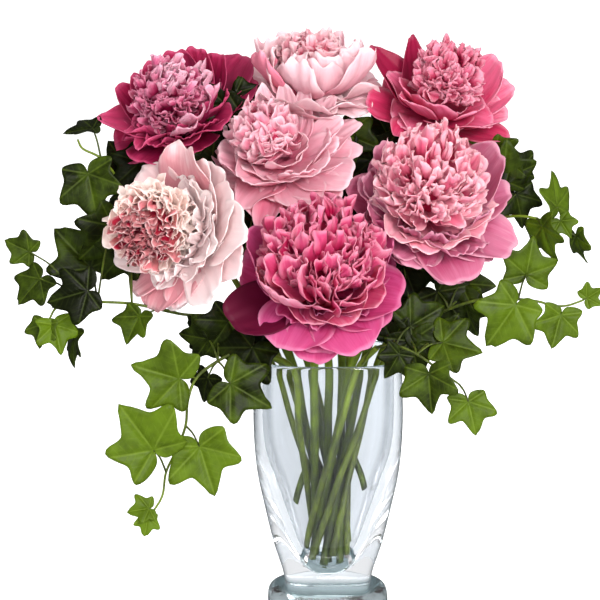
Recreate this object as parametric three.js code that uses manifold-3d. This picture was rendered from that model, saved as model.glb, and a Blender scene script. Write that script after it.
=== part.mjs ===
// Seven double peonies with trailing ivy, standing in a clear glass vase.
//
// Millimetres, +Z up. The origin is the centre of the underside of the vase's foot, and the
// front of the arrangement faces -Y.
//
// The glass is a lofted rounded square. Fifteen cut stems cross in it as a spiral bouquet does:
// inside the vase each stem is a straight line of one ruled hyperboloid family, so that none
// meets another. Seven stems carry a bloom, made of a lobed cup of guard petals with a ball of
// inner petals in it, and eight carry ivy.
import * as THREE from 'three';
import { mergeVertices } from 'three/addons/utils/BufferGeometryUtils.js';
import Module from 'manifold-3d';

const wasm = await Module();
wasm.setup();

// ---------------------------------------------------------------- driving dimensions
const CLEARANCE = 0.3; // left between pieces that touch

const RIM_HEIGHT = 203;
const RIM_OUTER = 57.2; // half widths of the glass, straight across from side to side
const RIM_INNER = 52.2;
const FOOT_HALF = 47.6;
const FOOT_EDGE = 8; // height of the foot's upright side
const NECK_HALF = 34.3;
const NECK_HEIGHT = 23.5;
const FLOOR_HEIGHT = 30; // lowest point of the cavity
const SQUARENESS = 3.3; // exponent of the rounded square section, 2 being a circle
const VASE_SEGMENTS = 24;

const WAIST_HEIGHT = 80; // where the bundle of stems is tightest
const FAN_LENGTH = 45.2; // above or below the waist, where its radius has grown by root two
const INNER_RING = 8.4; // distances of the stems from the axis at the waist
const OUTER_RING = 16.4;
const FLOWER_STEM_RADIUS = 3.2;
const STEM_LEAD = 34; // straight end of a flower stem, along its bloom's axis
const STEM_INSET = 3; // from the end of the stem's line to the bloom's seat
const IVY_STEM_RADIUS = 2.4;
const RUNNER_RADIUS = 1.3;
const PETIOLE_RADIUS = 0.9;
const PETIOLE_ARCH = 0.12; // rise of a petiole's middle, as a share of its length

const PETAL_THICKNESS = 2.2;
const LOBE_DEPTH = 0.16; // of the notches between guard petals, as a share of their reach
const BALL_BULGE = 0.04; // of the inner petals' ball, as a share of its radius
const LEAF_THICKNESS = 1.3;
const LEAF_FACING = [0, -0.98, 0.2]; // where an unturned leaf's face looks

// Blooms: the ball of inner petals has its centre at `heart` and its radius is `ball`. The bloom
// looks towards `azimuth` (degrees, 0 to the front, positive to the right) and `elevation`.
// `spread` is the radius of the guard petals, `rise` the height of their rim above the cup's base
// and `droop` how far the lowest guards hang. `rimAngle` is where its stem passes the rim.
const BLOOMS = [
  { heart: [-124, 12, 408], ball: 37, azimuth: -35, elevation: 60, spread: 57, rise: 34,
    droop: 8, lobes: 7, rimAngle: 129, colour: 0xb2437c },
  { heart: [-13, 42, 426], ball: 35, azimuth: 0, elevation: 75, spread: 54, rise: 40,
    droop: 4, lobes: 6, rimAngle: 69, colour: 0xf3b9c4 },
  { heart: [-41, -13, 377], ball: 38, azimuth: -15, elevation: 50, spread: 60, rise: 30,
    droop: 16, lobes: 8, rimAngle: null, colour: 0xf0a3b8 },
  { heart: [92, 17, 414], ball: 37, azimuth: 25, elevation: 60, spread: 58, rise: 34,
    droop: 8, lobes: 7, rimAngle: 9, colour: 0xd97a9f },
  { heart: [81, -50, 344], ball: 45, azimuth: 15, elevation: 45, spread: 65, rise: 30,
    droop: 18, lobes: 8, rimAngle: 309, colour: 0xe58fae },
  { heart: [-7, -78, 292], ball: 43, azimuth: 0, elevation: 40, spread: 71, rise: 27,
    droop: 22, lobes: 8, rimAngle: 249, colour: 0xd34f86 },
  { heart: [-133, -60, 313], ball: 39, azimuth: -50, elevation: 20, spread: 62, rise: 30,
    droop: 6, lobes: 7, rimAngle: 189, colour: 0xf4dcdc },
];

// Ivy sprays: `route` is the runner from above the rim to its tip. Each leaf leaves the runner
// at the route point `at`; its petiole reaches `base`, and `tip` is the point of its middle lobe.
// `turn` is the leaf's turn about that line, in degrees, 0 showing its face to the front.
// A leaf marked `small` is one piece with its spray.
const SPRAYS = [
  { name: 'left_upper', rimAngle: 152,
    route: [[-78, 34, 262], [-128, 24, 306], [-158, 14, 332], [-176, 3, 356], [-190, 0, 364],
      [-193, -4, 371]],
    leaves: [
      { at: 3, base: [-181, 8, 379], tip: [-206, 10, 375], turn: 60 },
      { at: 3, base: [-185, -12, 348], tip: [-178, -20, 311], turn: 5 },
      { at: 2, base: [-152, 22, 338], tip: [-172, 28, 368], turn: 10 },
      { at: 1, base: [-160, 6, 300], tip: [-182, -4, 309], turn: -20, small: true },
    ] },
  { name: 'left_middle', rimAngle: 190,
    route: [[-72, -14, 232], [-112, -34, 240], [-150, -44, 250], [-176, -46, 252],
      [-192, -45, 254], [-207, -48, 248], [-213, -52, 238]],
    leaves: [
      { at: 4, base: [-219, -40, 270], tip: [-238, -44, 250], turn: 25 },
      { at: 4, base: [-229, -30, 288], tip: [-248, -32, 296], turn: -15, small: true },
      { at: 3, base: [-182, -14, 271], tip: [-212, -8, 303], turn: 10 },
      { at: 3, base: [-180, -64, 264], tip: [-212, -70, 256], turn: 0 },
      { at: 1, base: [-143, -56, 244], tip: [-155, -60, 222], turn: 35 },
      { at: 6, base: [-216, -54, 236], tip: [-221, -58, 218], turn: 20, small: true },
      { at: 6, base: [-208, -56, 236], tip: [-202, -62, 214], turn: -20, small: true },
      { at: 6, base: [-193, -48, 226], tip: [-199, -50, 202], turn: 65, small: true },
    ] },
  { name: 'left_trailing', rimAngle: 232,
    route: [[-64, -54, 216], [-84, -66, 210], [-100, -77, 199], [-106, -82, 184],
      [-108, -83, 164], [-115, -82, 145], [-123, -83, 128], [-126, -85, 110], [-133, -87, 98]],
    leaves: [
      { at: 2, base: [-110, -86, 200], tip: [-147, -96, 212], turn: -10 },
      { at: 6, base: [-130, -96, 146], tip: [-156, -104, 184], turn: 0 },
      { at: 4, base: [-98, -90, 152], tip: [-86, -98, 113], turn: 5 },
      { at: 1, base: [-76, -86, 198], tip: [-43, -92, 180], turn: -5 },
      { at: 1, base: [-90, -52, 224], tip: [-116, -46, 226], turn: -20 },
      { at: 1, base: [-92, -62, 196], tip: [-99, -60, 176], turn: 30, small: true },
      { at: 8, base: [-136, -88, 101], tip: [-152, -92, 100], turn: 15, small: true },
      { at: 8, base: [-137, -88, 94], tip: [-139, -92, 80], turn: -15, small: true },
    ] },
  { name: 'right_upper', rimAngle: 25,
    route: [[76, 30, 250], [108, 26, 284], [128, 8, 306], [146, -6, 312], [160, -12, 311],
      [172, -14, 306], [186, -18, 300]],
    leaves: [
      { at: 2, base: [146, 14, 328], tip: [154, 8, 301], turn: -15 },
      { at: 2, base: [147, 27, 340], tip: [142, 30, 369], turn: 25 },
      { at: 1, base: [130, 10, 363], tip: [148, 8, 352], turn: 30, small: true },
      { at: 2, base: [141, 2, 352], tip: [136, -6, 336], turn: 20, small: true },
      { at: 4, base: [164, -18, 306], tip: [171, -24, 278], turn: 60, small: true },
      { at: 5, base: [176, -12, 320], tip: [173, -8, 348], turn: 55, small: true },
      { at: 5, base: [178, -18, 310], tip: [186, -24, 298], turn: 0, small: true },
      { at: 6, base: [190, -18, 298], tip: [194, -22, 276], turn: 70, small: true },
    ] },
  { name: 'right_middle', rimAngle: 340,
    route: [[64, -26, 226], [92, -34, 244], [122, -42, 254], [144, -46, 254], [160, -46, 252],
      [170, -46, 249], [181, -46, 249], [193, -46, 253]],
    leaves: [
      { at: 3, base: [151, -30, 268], tip: [157, -30, 300], turn: 10 },
      { at: 3, base: [142, -60, 254], tip: [119, -68, 222], turn: 0 },
      { at: 5, base: [176, -54, 245], tip: [169, -60, 218], turn: -15 },
      { at: 1, base: [104, -18, 250], tip: [113, -20, 218], turn: 30 },
      { at: 7, base: [196, -47, 255], tip: [208, -48, 263], turn: 0, small: true },
    ] },
  { name: 'right_low', rimAngle: 300,
    route: [[36, -60, 219], [50, -66, 222], [66, -70, 216], [84, -74, 204], [98, -76, 194]],
    leaves: [
      { at: 4, base: [104, -82, 184], tip: [110, -90, 158], turn: 0 },
      { at: 3, base: [74, -84, 206], tip: [76, -90, 174], turn: 15 },
      { at: 2, base: [84, -62, 224], tip: [116, -68, 218], turn: -20 },
      { at: 1, base: [60, -56, 234], tip: [88, -50, 250], turn: 0 },
      { at: 1, base: [52, -80, 218], tip: [42, -84, 200], turn: -10, small: true },
    ] },
  { name: 'back_right', rimAngle: 68,
    route: [[30, 62, 232], [48, 84, 262], [66, 94, 292], [86, 96, 318], [98, 92, 340]],
    leaves: [
      { at: 4, base: [103, 92, 346], tip: [120, 88, 382], turn: 170 },
      { at: 3, base: [72, 96, 322], tip: [38, 98, 338], turn: 185 },
      { at: 2, base: [84, 102, 284], tip: [116, 98, 262], turn: 170 },
      { at: 1, base: [36, 96, 262], tip: [4, 96, 250], turn: 190 },
    ] },
  { name: 'back_left', rimAngle: 112,
    route: [[-26, 64, 230], [-44, 84, 258], [-64, 94, 288], [-88, 94, 316], [-106, 86, 340]],
    leaves: [
      { at: 4, base: [-112, 84, 346], tip: [-138, 72, 374], turn: 190 },
      { at: 3, base: [-72, 98, 322], tip: [-44, 98, 352], turn: 175 },
      { at: 2, base: [-82, 100, 282], tip: [-118, 90, 266], turn: 190 },
      { at: 1, base: [-36, 96, 252], tip: [-24, 96, 214], turn: 180 },
    ] },
];

const COLOURS = { glass: 0xdfe6ea, stem: 0x7f9a4a, runner: 0x6b6a3a, leaf: 0x4d6b26 };

// ---------------------------------------------------------------- solids and meshes
const vec = (xyz) => new THREE.Vector3(...xyz);

/** A closed geometry as a manifold solid, with its faces pointing out. */
function solidOf(geometry) {
  const bare = geometry.index ? geometry.clone() : geometry;
  bare.deleteAttribute('normal');
  bare.deleteAttribute('uv');
  const merged = mergeVertices(bare, 1e-4);
  const mesh = (triVerts) => new wasm.Mesh({
    numProp: 3,
    vertProperties: new Float32Array(merged.attributes.position.array),
    triVerts,
  });
  const corners = new Uint32Array(merged.index.array);
  const solid = new wasm.Manifold(mesh(corners));
  return solid.volume() > 0 ? solid : new wasm.Manifold(mesh(corners.reverse()));
}

/** A manifold solid as a geometry to show. */
function geometryOf(solid) {
  const { vertProperties, triVerts } = solid.getMesh();
  const geometry = new THREE.BufferGeometry();
  geometry.setAttribute('position', new THREE.BufferAttribute(new Float32Array(vertProperties), 3));
  geometry.setIndex(new THREE.BufferAttribute(new Uint32Array(triVerts), 1));
  geometry.computeVertexNormals();
  return geometry;
}

/** The biggest of the bodies that a cut leaves. */
function biggest(solid) {
  return solid.decompose().sort((a, b) => b.volume() - a.volume())[0];
}

/** A closed skin over rings of points; a ring of one point is a pole. */
function skinOf(rings) {
  const points = rings.flat();
  const starts = [];
  rings.reduce((start, ring) => {
    starts.push(start);
    return start + ring.length;
  }, 0);
  const triangles = [];
  for (let row = 0; row + 1 < rings.length; row += 1) {
    const lower = rings[row];
    const upper = rings[row + 1];
    const count = Math.max(lower.length, upper.length);
    for (let i = 0; i < count; i += 1) {
      const a = starts[row] + (i % lower.length);
      const b = starts[row] + ((i + 1) % lower.length);
      const c = starts[row + 1] + (i % upper.length);
      const d = starts[row + 1] + ((i + 1) % upper.length);
      if (lower.length > 1) triangles.push(a, b, d);
      if (upper.length > 1) triangles.push(a, d, c);
    }
  }
  const geometry = new THREE.BufferGeometry();
  geometry.setAttribute('position', new THREE.Float32BufferAttribute(
    points.flatMap((point) => point.toArray()), 3));
  geometry.setIndex(triangles);
  return solidOf(geometry);
}

/** A round bar along a smooth curve through the given points. */
function tube(points, radius, sides, steps) {
  const corners = Array.from({ length: sides }, (_, i) => {
    const angle = (2 * Math.PI * i) / sides;
    return new THREE.Vector2(radius * Math.cos(angle), radius * Math.sin(angle));
  });
  const path = new THREE.CatmullRomCurve3(points, false, 'centripetal');
  return solidOf(new THREE.ExtrudeGeometry(new THREE.Shape(corners),
    { steps, extrudePath: path, bevelEnabled: false }));
}

function meshOf(name, solid, colour, roughness, extra = {}) {
  const material = new THREE.MeshStandardMaterial({ color: colour, roughness, ...extra });
  const mesh = new THREE.Mesh(geometryOf(solid), material);
  mesh.name = name;
  return mesh;
}

// ---------------------------------------------------------------- the vase
/** Half width and height of the glass outside, from the foot's edge up to the rim. */
function outerProfile() {
  const shoulder = [30, 60, 85].map((degrees) => {
    const angle = THREE.MathUtils.degToRad(degrees);
    return new THREE.Vector2(
      NECK_HALF + (FOOT_HALF - NECK_HALF) * Math.cos(angle),
      FOOT_EDGE + (NECK_HEIGHT - FOOT_EDGE) * Math.sin(angle));
  });
  const body = new THREE.SplineCurve([
    new THREE.Vector2(NECK_HALF, NECK_HEIGHT), new THREE.Vector2(43.2, 54),
    new THREE.Vector2(49.7, 82), new THREE.Vector2(55.9, 113),
    new THREE.Vector2(58.6, 152), new THREE.Vector2(RIM_OUTER, RIM_HEIGHT - 2)]);
  return [
    new THREE.Vector2(FOOT_HALF - 1.2, 0),
    new THREE.Vector2(FOOT_HALF, 1.2),
    new THREE.Vector2(FOOT_HALF, FOOT_EDGE),
    ...shoulder,
    ...body.getSpacedPoints(8),
    new THREE.Vector2(RIM_OUTER - 1.4, RIM_HEIGHT),
  ];
}

/** Half width and height of the cavity, from the rim down to its floor. */
function cavityProfile() {
  const wall = new THREE.SplineCurve([
    new THREE.Vector2(RIM_INNER, RIM_HEIGHT - 1.6), new THREE.Vector2(52.4, 150),
    new THREE.Vector2(50.1, 127), new THREE.Vector2(46.1, 111), new THREE.Vector2(39.7, 92),
    new THREE.Vector2(33, 73), new THREE.Vector2(25.8, 54), new THREE.Vector2(19, 41.5),
    new THREE.Vector2(11.5, 33.5)]);
  return [new THREE.Vector2(RIM_INNER + 1.4, RIM_HEIGHT), ...wall.getSpacedPoints(11)];
}

/** One level of the glass: a rounded square |x|^n + |y|^n = half^n. */
function squareRing(half, height) {
  return Array.from({ length: VASE_SEGMENTS }, (_, i) => {
    const angle = (2 * Math.PI * i) / VASE_SEGMENTS;
    const reach = half / squareNorm(Math.cos(angle), Math.sin(angle));
    return new THREE.Vector3(reach * Math.cos(angle), reach * Math.sin(angle), height);
  });
}

/** Half width of the rounded square that passes through a point. */
function squareNorm(x, y) {
  return (Math.abs(x) ** SQUARENESS + Math.abs(y) ** SQUARENESS) ** (1 / SQUARENESS);
}

function vase() {
  const levels = [...outerProfile(), ...cavityProfile()];
  return skinOf([
    [new THREE.Vector3(0, 0, 0)],
    ...levels.map((level) => squareRing(level.x, level.y)),
    [new THREE.Vector3(0, 0, FLOOR_HEIGHT)],
  ]);
}

// ---------------------------------------------------------------- the bundle of stems
/** Where a stem is at a given height: a straight line that skirts the vase's axis. */
function bundlePoint(slot, height) {
  const run = (height - WAIST_HEIGHT) / FAN_LENGTH;
  const radius = slot.ring * Math.hypot(1, run);
  const angle = slot.waistAngle + Math.atan(run);
  return new THREE.Vector3(radius * Math.cos(angle), radius * Math.sin(angle), height);
}

/** The slot of a stem that passes the rim at a given angle in degrees. */
function slotAt(ring, rimAngle) {
  const swing = Math.atan((RIM_HEIGHT - WAIST_HEIGHT) / FAN_LENGTH);
  return { ring, waistAngle: THREE.MathUtils.degToRad(rimAngle ?? 0) - swing };
}

/** The height at which a stem's cut end comes to rest just clear of the cavity's wall. */
function footHeight(slot, stemRadius) {
  const step = 0.1;
  const endTilt = 0.4; // how far the low side of the slanting cut end lies below its centre
  const wall = [...cavityProfile(), new THREE.Vector2(0, FLOOR_HEIGHT)];
  const segment = new THREE.Line3();
  const nearest = new THREE.Vector3();
  const distance = (x, y, z) => {
    const spot = new THREE.Vector3(squareNorm(x, y), z, 0);
    return Math.min(...wall.slice(1).map((point, i) => {
      segment.start.set(wall[i].x, wall[i].y, 0);
      segment.end.set(point.x, point.y, 0);
      return segment.closestPointToPoint(spot, true, nearest).distanceTo(spot);
    }));
  };
  const room = (height) => {
    const centre = bundlePoint(slot, height);
    const edge = Array.from({ length: 8 }, (_, i) => (Math.PI * i) / 4);
    return Math.min(...edge.map((angle) => distance(
      centre.x + stemRadius * Math.cos(angle), centre.y + stemRadius * Math.sin(angle),
      height - endTilt)));
  };
  let height = WAIST_HEIGHT;
  while (room(height) > CLEARANCE) height -= step;
  return height;
}

/** The points of a stem inside the vase, from its cut end up to the rim. */
function stemInVase(slot, stemRadius) {
  const foot = footHeight(slot, stemRadius);
  return [foot, 90, 150, RIM_HEIGHT - 4].map((height) => bundlePoint(slot, height));
}

// ---------------------------------------------------------------- blooms
/** The frame of a bloom: its base, where the cup sits on the stem, and its three directions. */
function bloomFrame({ heart, ball, azimuth, elevation }) {
  const turn = THREE.MathUtils.degToRad(azimuth);
  const lift = THREE.MathUtils.degToRad(elevation);
  const axis = new THREE.Vector3(
    Math.sin(turn) * Math.cos(lift), -Math.cos(turn) * Math.cos(lift), Math.sin(lift));
  const across = new THREE.Vector3(Math.cos(turn), Math.sin(turn), 0);
  const up = axis.clone().cross(across);
  const base = vec(heart).addScaledVector(axis, -(ball + PETAL_THICKNESS + 2 * CLEARANCE));
  return { base, axis, place: new THREE.Matrix4().makeBasis(across, up, axis).setPosition(base) };
}

/** The cup of guard petals: a shallow bowl with a lobed rim that hangs lower below. */
function guardPetals(spec, place) {
  const columns = 24;
  const levels = [0.3, 0.6, 0.84, 1];
  const point = (angle, level, lift) => {
    const lobe = Math.abs(Math.cos((spec.lobes * angle) / 2)) ** 0.6;
    const reach = spec.spread * level * (1 - LOBE_DEPTH * level * (1 - lobe));
    const hang = spec.droop * Math.max(0, -Math.sin(angle)) * level ** 3;
    const height = spec.rise * level ** 2.2 - hang;
    return new THREE.Vector3(reach * Math.cos(angle), reach * Math.sin(angle), height + lift);
  };
  const ring = (level, lift) => Array.from({ length: columns },
    (_, i) => point((2 * Math.PI * i) / columns, level, lift));
  const rings = [
    [new THREE.Vector3(0, 0, 0)],
    ...levels.map((level) => ring(level, 0)),
    ...levels.toReversed().map((level) => ring(level - 0.01, PETAL_THICKNESS)),
    [new THREE.Vector3(0, 0, PETAL_THICKNESS)],
  ];
  return skinOf(rings.map((row) => row.map((spot) => spot.applyMatrix4(place))));
}

/** The ball of inner petals: a sphere with soft bulges. */
function heartPetals(spec, place) {
  const columns = 16;
  const rows = 8;
  const middle = PETAL_THICKNESS + CLEARANCE + spec.ball;
  const rings = Array.from({ length: rows + 1 }, (_, row) => {
    const polar = (Math.PI * row) / rows;
    const pole = row === 0 || row === rows;
    return Array.from({ length: pole ? 1 : columns }, (__, i) => {
      const angle = (2 * Math.PI * i) / columns;
      const bulge = 1 + (pole ? 0 : BALL_BULGE * Math.sin(3 * angle + row) * Math.sin(polar));
      return new THREE.Vector3(
        spec.ball * bulge * Math.sin(polar) * Math.cos(angle),
        spec.ball * bulge * Math.sin(polar) * Math.sin(angle),
        middle - spec.ball * Math.cos(polar)).applyMatrix4(place);
    });
  });
  return skinOf(rings);
}

/** Cuts a petal solid back to its bloom's own share of the space between crowded blooms. */
function pressed(solid, spec) {
  const margin = 10; // blooms further apart than their spreads and this leave each other alone
  return BLOOMS.filter((other) => other !== spec).reduce((rest, other) => {
    const toOther = vec(other.heart).sub(vec(spec.heart));
    const distance = toOther.length();
    if (distance > spec.spread + other.spread + margin) return rest;
    const share = distance / 2 + (spec.spread ** 2 - other.spread ** 2) / (2 * distance);
    const inward = toOther.divideScalar(-distance);
    const limit = inward.dot(vec(spec.heart)) - share + CLEARANCE;
    return biggest(rest.trimByPlane(inward.toArray(), limit));
  }, solid);
}

/** A flower stem, with the receptacle and sepals that the cup of petals sits on. */
function flowerStem(spec, frame) {
  const slot = slotAt(spec.rimAngle === null ? 0 : INNER_RING, spec.rimAngle);
  const seat = frame.base.clone().addScaledVector(frame.axis, -CLEARANCE);
  const points = [
    ...stemInVase(slot, FLOWER_STEM_RADIUS),
    seat.clone().addScaledVector(frame.axis, -STEM_LEAD),
    seat.clone().addScaledVector(frame.axis, -STEM_INSET),
  ];
  const sepals = new THREE.LatheGeometry([[0, -11], [3.4, -10], [7, -4.5], [16, -1.2], [15, 0],
    [0, 0]].map(([x, y]) => new THREE.Vector2(x, y)), 9);
  sepals.rotateX(Math.PI / 2);
  const offset = new THREE.Matrix4().makeTranslation(0, 0, -CLEARANCE);
  sepals.applyMatrix4(frame.place.clone().multiply(offset));
  return tube(points, FLOWER_STEM_RADIUS, 7, 14).add(solidOf(sepals));
}

// ---------------------------------------------------------------- ivy
// Half the outline of an ivy leaf of unit length, from the notch at the petiole to the tip.
const LEAF_OUTLINE = [[0, 0], [0.2, -0.2], [0.42, -0.16], [0.38, 0.1], [0.64, 0.36],
  [0.3, 0.46], [0, 1]];

/** A flat five-lobed leaf between its notch and its tip. */
function ivyLeaf({ base, tip, turn }) {
  const along = vec(tip).sub(vec(base));
  const length = along.length();
  along.normalize();
  const facing = vec(LEAF_FACING);
  facing.addScaledVector(along, -facing.dot(along)).normalize();
  facing.applyAxisAngle(along, THREE.MathUtils.degToRad(turn));
  const side = along.clone().cross(facing);
  const half = LEAF_OUTLINE.map(([x, y]) => new THREE.Vector2(x * length, y * length));
  const mirrored = half.slice(1, -1).toReversed().map((point) => new THREE.Vector2(-point.x, point.y));
  const blade = new THREE.ExtrudeGeometry(new THREE.Shape([...half, ...mirrored]),
    { depth: LEAF_THICKNESS, bevelEnabled: false });
  blade.translate(0, 0, -LEAF_THICKNESS / 2);
  blade.applyMatrix4(new THREE.Matrix4().makeBasis(side, along, facing).setPosition(vec(base)));
  return solidOf(blade);
}

/** The petiole of a leaf, from the runner to a little past the blade's notch. */
function petiole(spray, leaf, radius, overrun) {
  const from = vec(spray.route[leaf.at]);
  const to = vec(leaf.base);
  const middle = from.clone().lerp(to, 0.5);
  middle.z += PETIOLE_ARCH * from.distanceTo(to);
  const onward = to.clone().sub(middle).normalize();
  return tube([from, middle, to.addScaledVector(onward, overrun)], radius, 4, 2);
}

/** The stem in the vase, the runner, the petioles and the spray's small leaves, as one piece. */
function ivySpray(spray) {
  const inVase = stemInVase(slotAt(OUTER_RING, spray.rimAngle), IVY_STEM_RADIUS);
  const route = spray.route.map(vec);
  const pieces = [
    tube([...inVase, route[0]], IVY_STEM_RADIUS, 5, 9),
    tube([inVase.at(-1), ...route], RUNNER_RADIUS, 4, 2 * spray.route.length + 2),
    ...spray.leaves.map((leaf) => petiole(spray, leaf, PETIOLE_RADIUS, leaf.small ? 0.5 : 0)),
    ...spray.leaves.filter((leaf) => leaf.small).map(ivyLeaf),
  ];
  return pieces.reduce((whole, piece) => whole.add(piece));
}

// ---------------------------------------------------------------- the arrangement
const group = new THREE.Group();
group.add(meshOf('vase', vase(), COLOURS.glass, 0.05, { transparent: true, opacity: 0.35 }));

BLOOMS.forEach((spec, i) => {
  const number = i + 1;
  const frame = bloomFrame(spec);
  const bloom = new THREE.Group();
  bloom.add(
    meshOf(`peony_stem_${number}`, flowerStem(spec, frame), COLOURS.stem, 0.6),
    meshOf(`guard_petals_${number}`, pressed(guardPetals(spec, frame.place), spec),
      spec.colour, 0.7),
    meshOf(`heart_petals_${number}`, pressed(heartPetals(spec, frame.place), spec),
      spec.colour, 0.7));
  group.add(bloom);
});

SPRAYS.forEach((spray) => {
  const ivy = new THREE.Group();
  ivy.add(meshOf(`ivy_spray_${spray.name}`, ivySpray(spray), COLOURS.runner, 0.6));
  spray.leaves.filter((leaf) => !leaf.small).forEach((leaf, i) => {
    const room = petiole(spray, leaf, PETIOLE_RADIUS + 2 * CLEARANCE, CLEARANCE);
    const blade = biggest(ivyLeaf(leaf).subtract(room));
    ivy.add(meshOf(`ivy_leaf_${spray.name}_${i + 1}`, blade, COLOURS.leaf, 0.55));
  });
  group.add(ivy);
});

export default group;
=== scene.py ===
"""Seven double peonies and eight sprays of ivy in a clear glass vase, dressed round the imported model.

Petals, leaves, stems and the glass are surfaces worked out with numpy in millimetres, in the model's own
frame, and go into their meshes in metres. Where a bloom sits, how big its ball is and where each leaf lies
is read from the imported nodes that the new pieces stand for.
"""
import logging
import math
from dataclasses import dataclass, field, replace
from enum import Enum
from functools import lru_cache

import bpy
import numpy as np
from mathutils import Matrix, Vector


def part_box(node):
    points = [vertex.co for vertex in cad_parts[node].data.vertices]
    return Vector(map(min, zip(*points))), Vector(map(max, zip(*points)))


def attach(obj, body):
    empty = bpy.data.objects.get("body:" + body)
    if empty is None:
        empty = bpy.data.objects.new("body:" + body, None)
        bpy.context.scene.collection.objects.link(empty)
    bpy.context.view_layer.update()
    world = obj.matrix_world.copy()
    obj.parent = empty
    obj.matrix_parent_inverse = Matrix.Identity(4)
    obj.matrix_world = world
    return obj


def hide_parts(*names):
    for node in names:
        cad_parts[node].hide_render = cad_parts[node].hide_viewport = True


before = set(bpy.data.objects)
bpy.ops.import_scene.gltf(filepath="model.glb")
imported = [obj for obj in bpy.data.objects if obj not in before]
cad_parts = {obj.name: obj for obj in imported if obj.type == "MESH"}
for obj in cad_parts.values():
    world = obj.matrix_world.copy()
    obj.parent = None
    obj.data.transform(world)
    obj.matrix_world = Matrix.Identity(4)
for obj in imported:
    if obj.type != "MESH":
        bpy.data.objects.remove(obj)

Array = np.ndarray
Colour = tuple[float, float, float]
Screen = tuple[int, int, int]
Point = tuple[float, float, float]
Place = tuple[Array, Array, Array, float]

MM = 0.001
BODY = "root"
GOLDEN_ANGLE = math.pi * (3 - math.sqrt(5))
# A bloom's number is added to this for its seed.
BLOOM_SEED = 100
# The search for the length of a listed petal starts here and takes this many turns.
FIRST_LENGTH = 60.0
LENGTH_TURNS = 24
# A direction that no stem, runner or stalk follows.
UNUSED_WAY = np.array([0.31, 0.94, 0.13])
LOG = logging.getLogger("peonies")


# ---------------------------------------------------------------- small maths
def unit(vectors: Array) -> Array:
    """Vectors along the last axis, each made one long."""
    return vectors / np.maximum(np.linalg.norm(vectors, axis=-1, keepdims=True), 1e-12)


def ease(x: Array, low: float, high: float) -> Array:
    """Smooth step: 0 below low, 1 above high, and 3t^2 - 2t^3 between them."""
    t = np.clip((x - low) / (high - low), 0.0, 1.0)
    return t * t * (3 - 2 * t)


def linear(colour: Screen) -> Colour:
    """A screen colour of three numbers up to 255 as linear light, by the sRGB curve."""
    return tuple(float(((c / 255 + 0.055) / 1.055) ** 2.4 if c > 10 else c / 3294.6) for c in colour)


def curve_through(points: Array, per_span: int) -> Array:
    """A centripetal Catmull-Rom curve through the points.

    Each span is the cubic between two points whose end slopes come from the neighbours, weighted by
    the square roots of the distances, so that the curve makes no loops.

    Args:
        points: the points to pass through, one per row.
        per_span: steps between one point and the next.

    Returns:
        The points along the curve, both ends among them.
    """
    points = np.asarray(points, float)
    padded = np.vstack([2 * points[0] - points[1], points, 2 * points[-1] - points[-2]])
    gaps = np.sqrt(np.linalg.norm(np.diff(padded, axis=0), axis=1))[:, None]
    p0, p1, p2, p3 = padded[:-3], padded[1:-2], padded[2:-1], padded[3:]
    d0, d1, d2 = gaps[:-2], gaps[1:-1], gaps[2:]
    slope1 = ((p1 - p0) / d0 - (p2 - p0) / (d0 + d1) + (p2 - p1) / d1) * d1
    slope2 = ((p2 - p1) / d1 - (p3 - p1) / (d1 + d2) + (p3 - p2) / d2) * d1
    t = (np.arange(per_span) / per_span)[None, :, None]
    spans = ((2 * t**3 - 3 * t**2 + 1) * p1[:, None] + (t**3 - 2 * t**2 + t) * slope1[:, None]
             + (3 * t**2 - 2 * t**3) * p2[:, None] + (t**3 - t**2) * slope2[:, None])
    return np.vstack([spans.reshape(-1, points.shape[1]), points[-1:]])


# ---------------------------------------------------------------- meshes
@dataclass
class Part:
    """One closed skin: its points, its faces of three or four corners, and values at every point."""

    points: Array
    faces: list[Array]
    values: dict[str, Array] = field(default_factory=dict)
    flat: list[bool] | None = None


@lru_cache(maxsize=None)
def sheet_faces(rows: int, columns: int) -> tuple[Array, Array]:
    """Corner numbers of a closed thin sheet whose top grid comes first and whose bottom grid follows.

    Args:
        rows: points along the grid's first direction.
        columns: points along its second direction.

    Returns:
        The quads of both faces, and the quads of the rim between them.
    """
    number = np.arange(rows * columns).reshape(rows, columns)
    a, b, c, d = number[:-1, :-1], number[1:, :-1], number[1:, 1:], number[:-1, 1:]
    top = np.stack([a, b, c, d], axis=-1).reshape(-1, 4)
    bottom = top[:, ::-1] + rows * columns
    walk = np.concatenate([number[:, 0], number[-1, 1:], number[-2::-1, -1], number[0, -2:0:-1]])
    ahead = np.roll(walk, -1)
    under = rows * columns
    rim = np.stack([walk, walk + under, ahead + under, ahead], axis=-1)
    return np.vstack([top, bottom]), rim


def thin_sheet(middle: Array, thickness: Array | float, values: dict[str, Array]) -> Part:
    """A closed sheet of real thickness about a grid of points.

    The normal is the cross product of the grid's two slopes, and each face lies half the thickness
    from the middle along it.

    Args:
        middle: grid of points, rows by columns by 3, whose slopes' cross product is the upper side.
        thickness: one number, or one for each grid point.
        values: grids of values, which both faces take.

    Returns:
        The sheet, with a value "face" that is 0 on the upper side and 1 on the lower.
    """
    rows, columns = middle.shape[:2]
    normal = unit(np.cross(np.gradient(middle, axis=0), np.gradient(middle, axis=1)))
    offset = normal * (np.broadcast_to(thickness, (rows, columns))[..., None] / 2)
    points = np.concatenate([(middle + offset).reshape(-1, 3), (middle - offset).reshape(-1, 3)])
    both = {name: np.concatenate([grid.reshape(rows * columns, -1)] * 2) for name, grid in values.items()}
    both["face"] = np.repeat([0.0, 1.0], rows * columns)[:, None]
    broad, rim = sheet_faces(rows, columns)
    return Part(points, [broad, rim], both, flat=[False, True])


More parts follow.
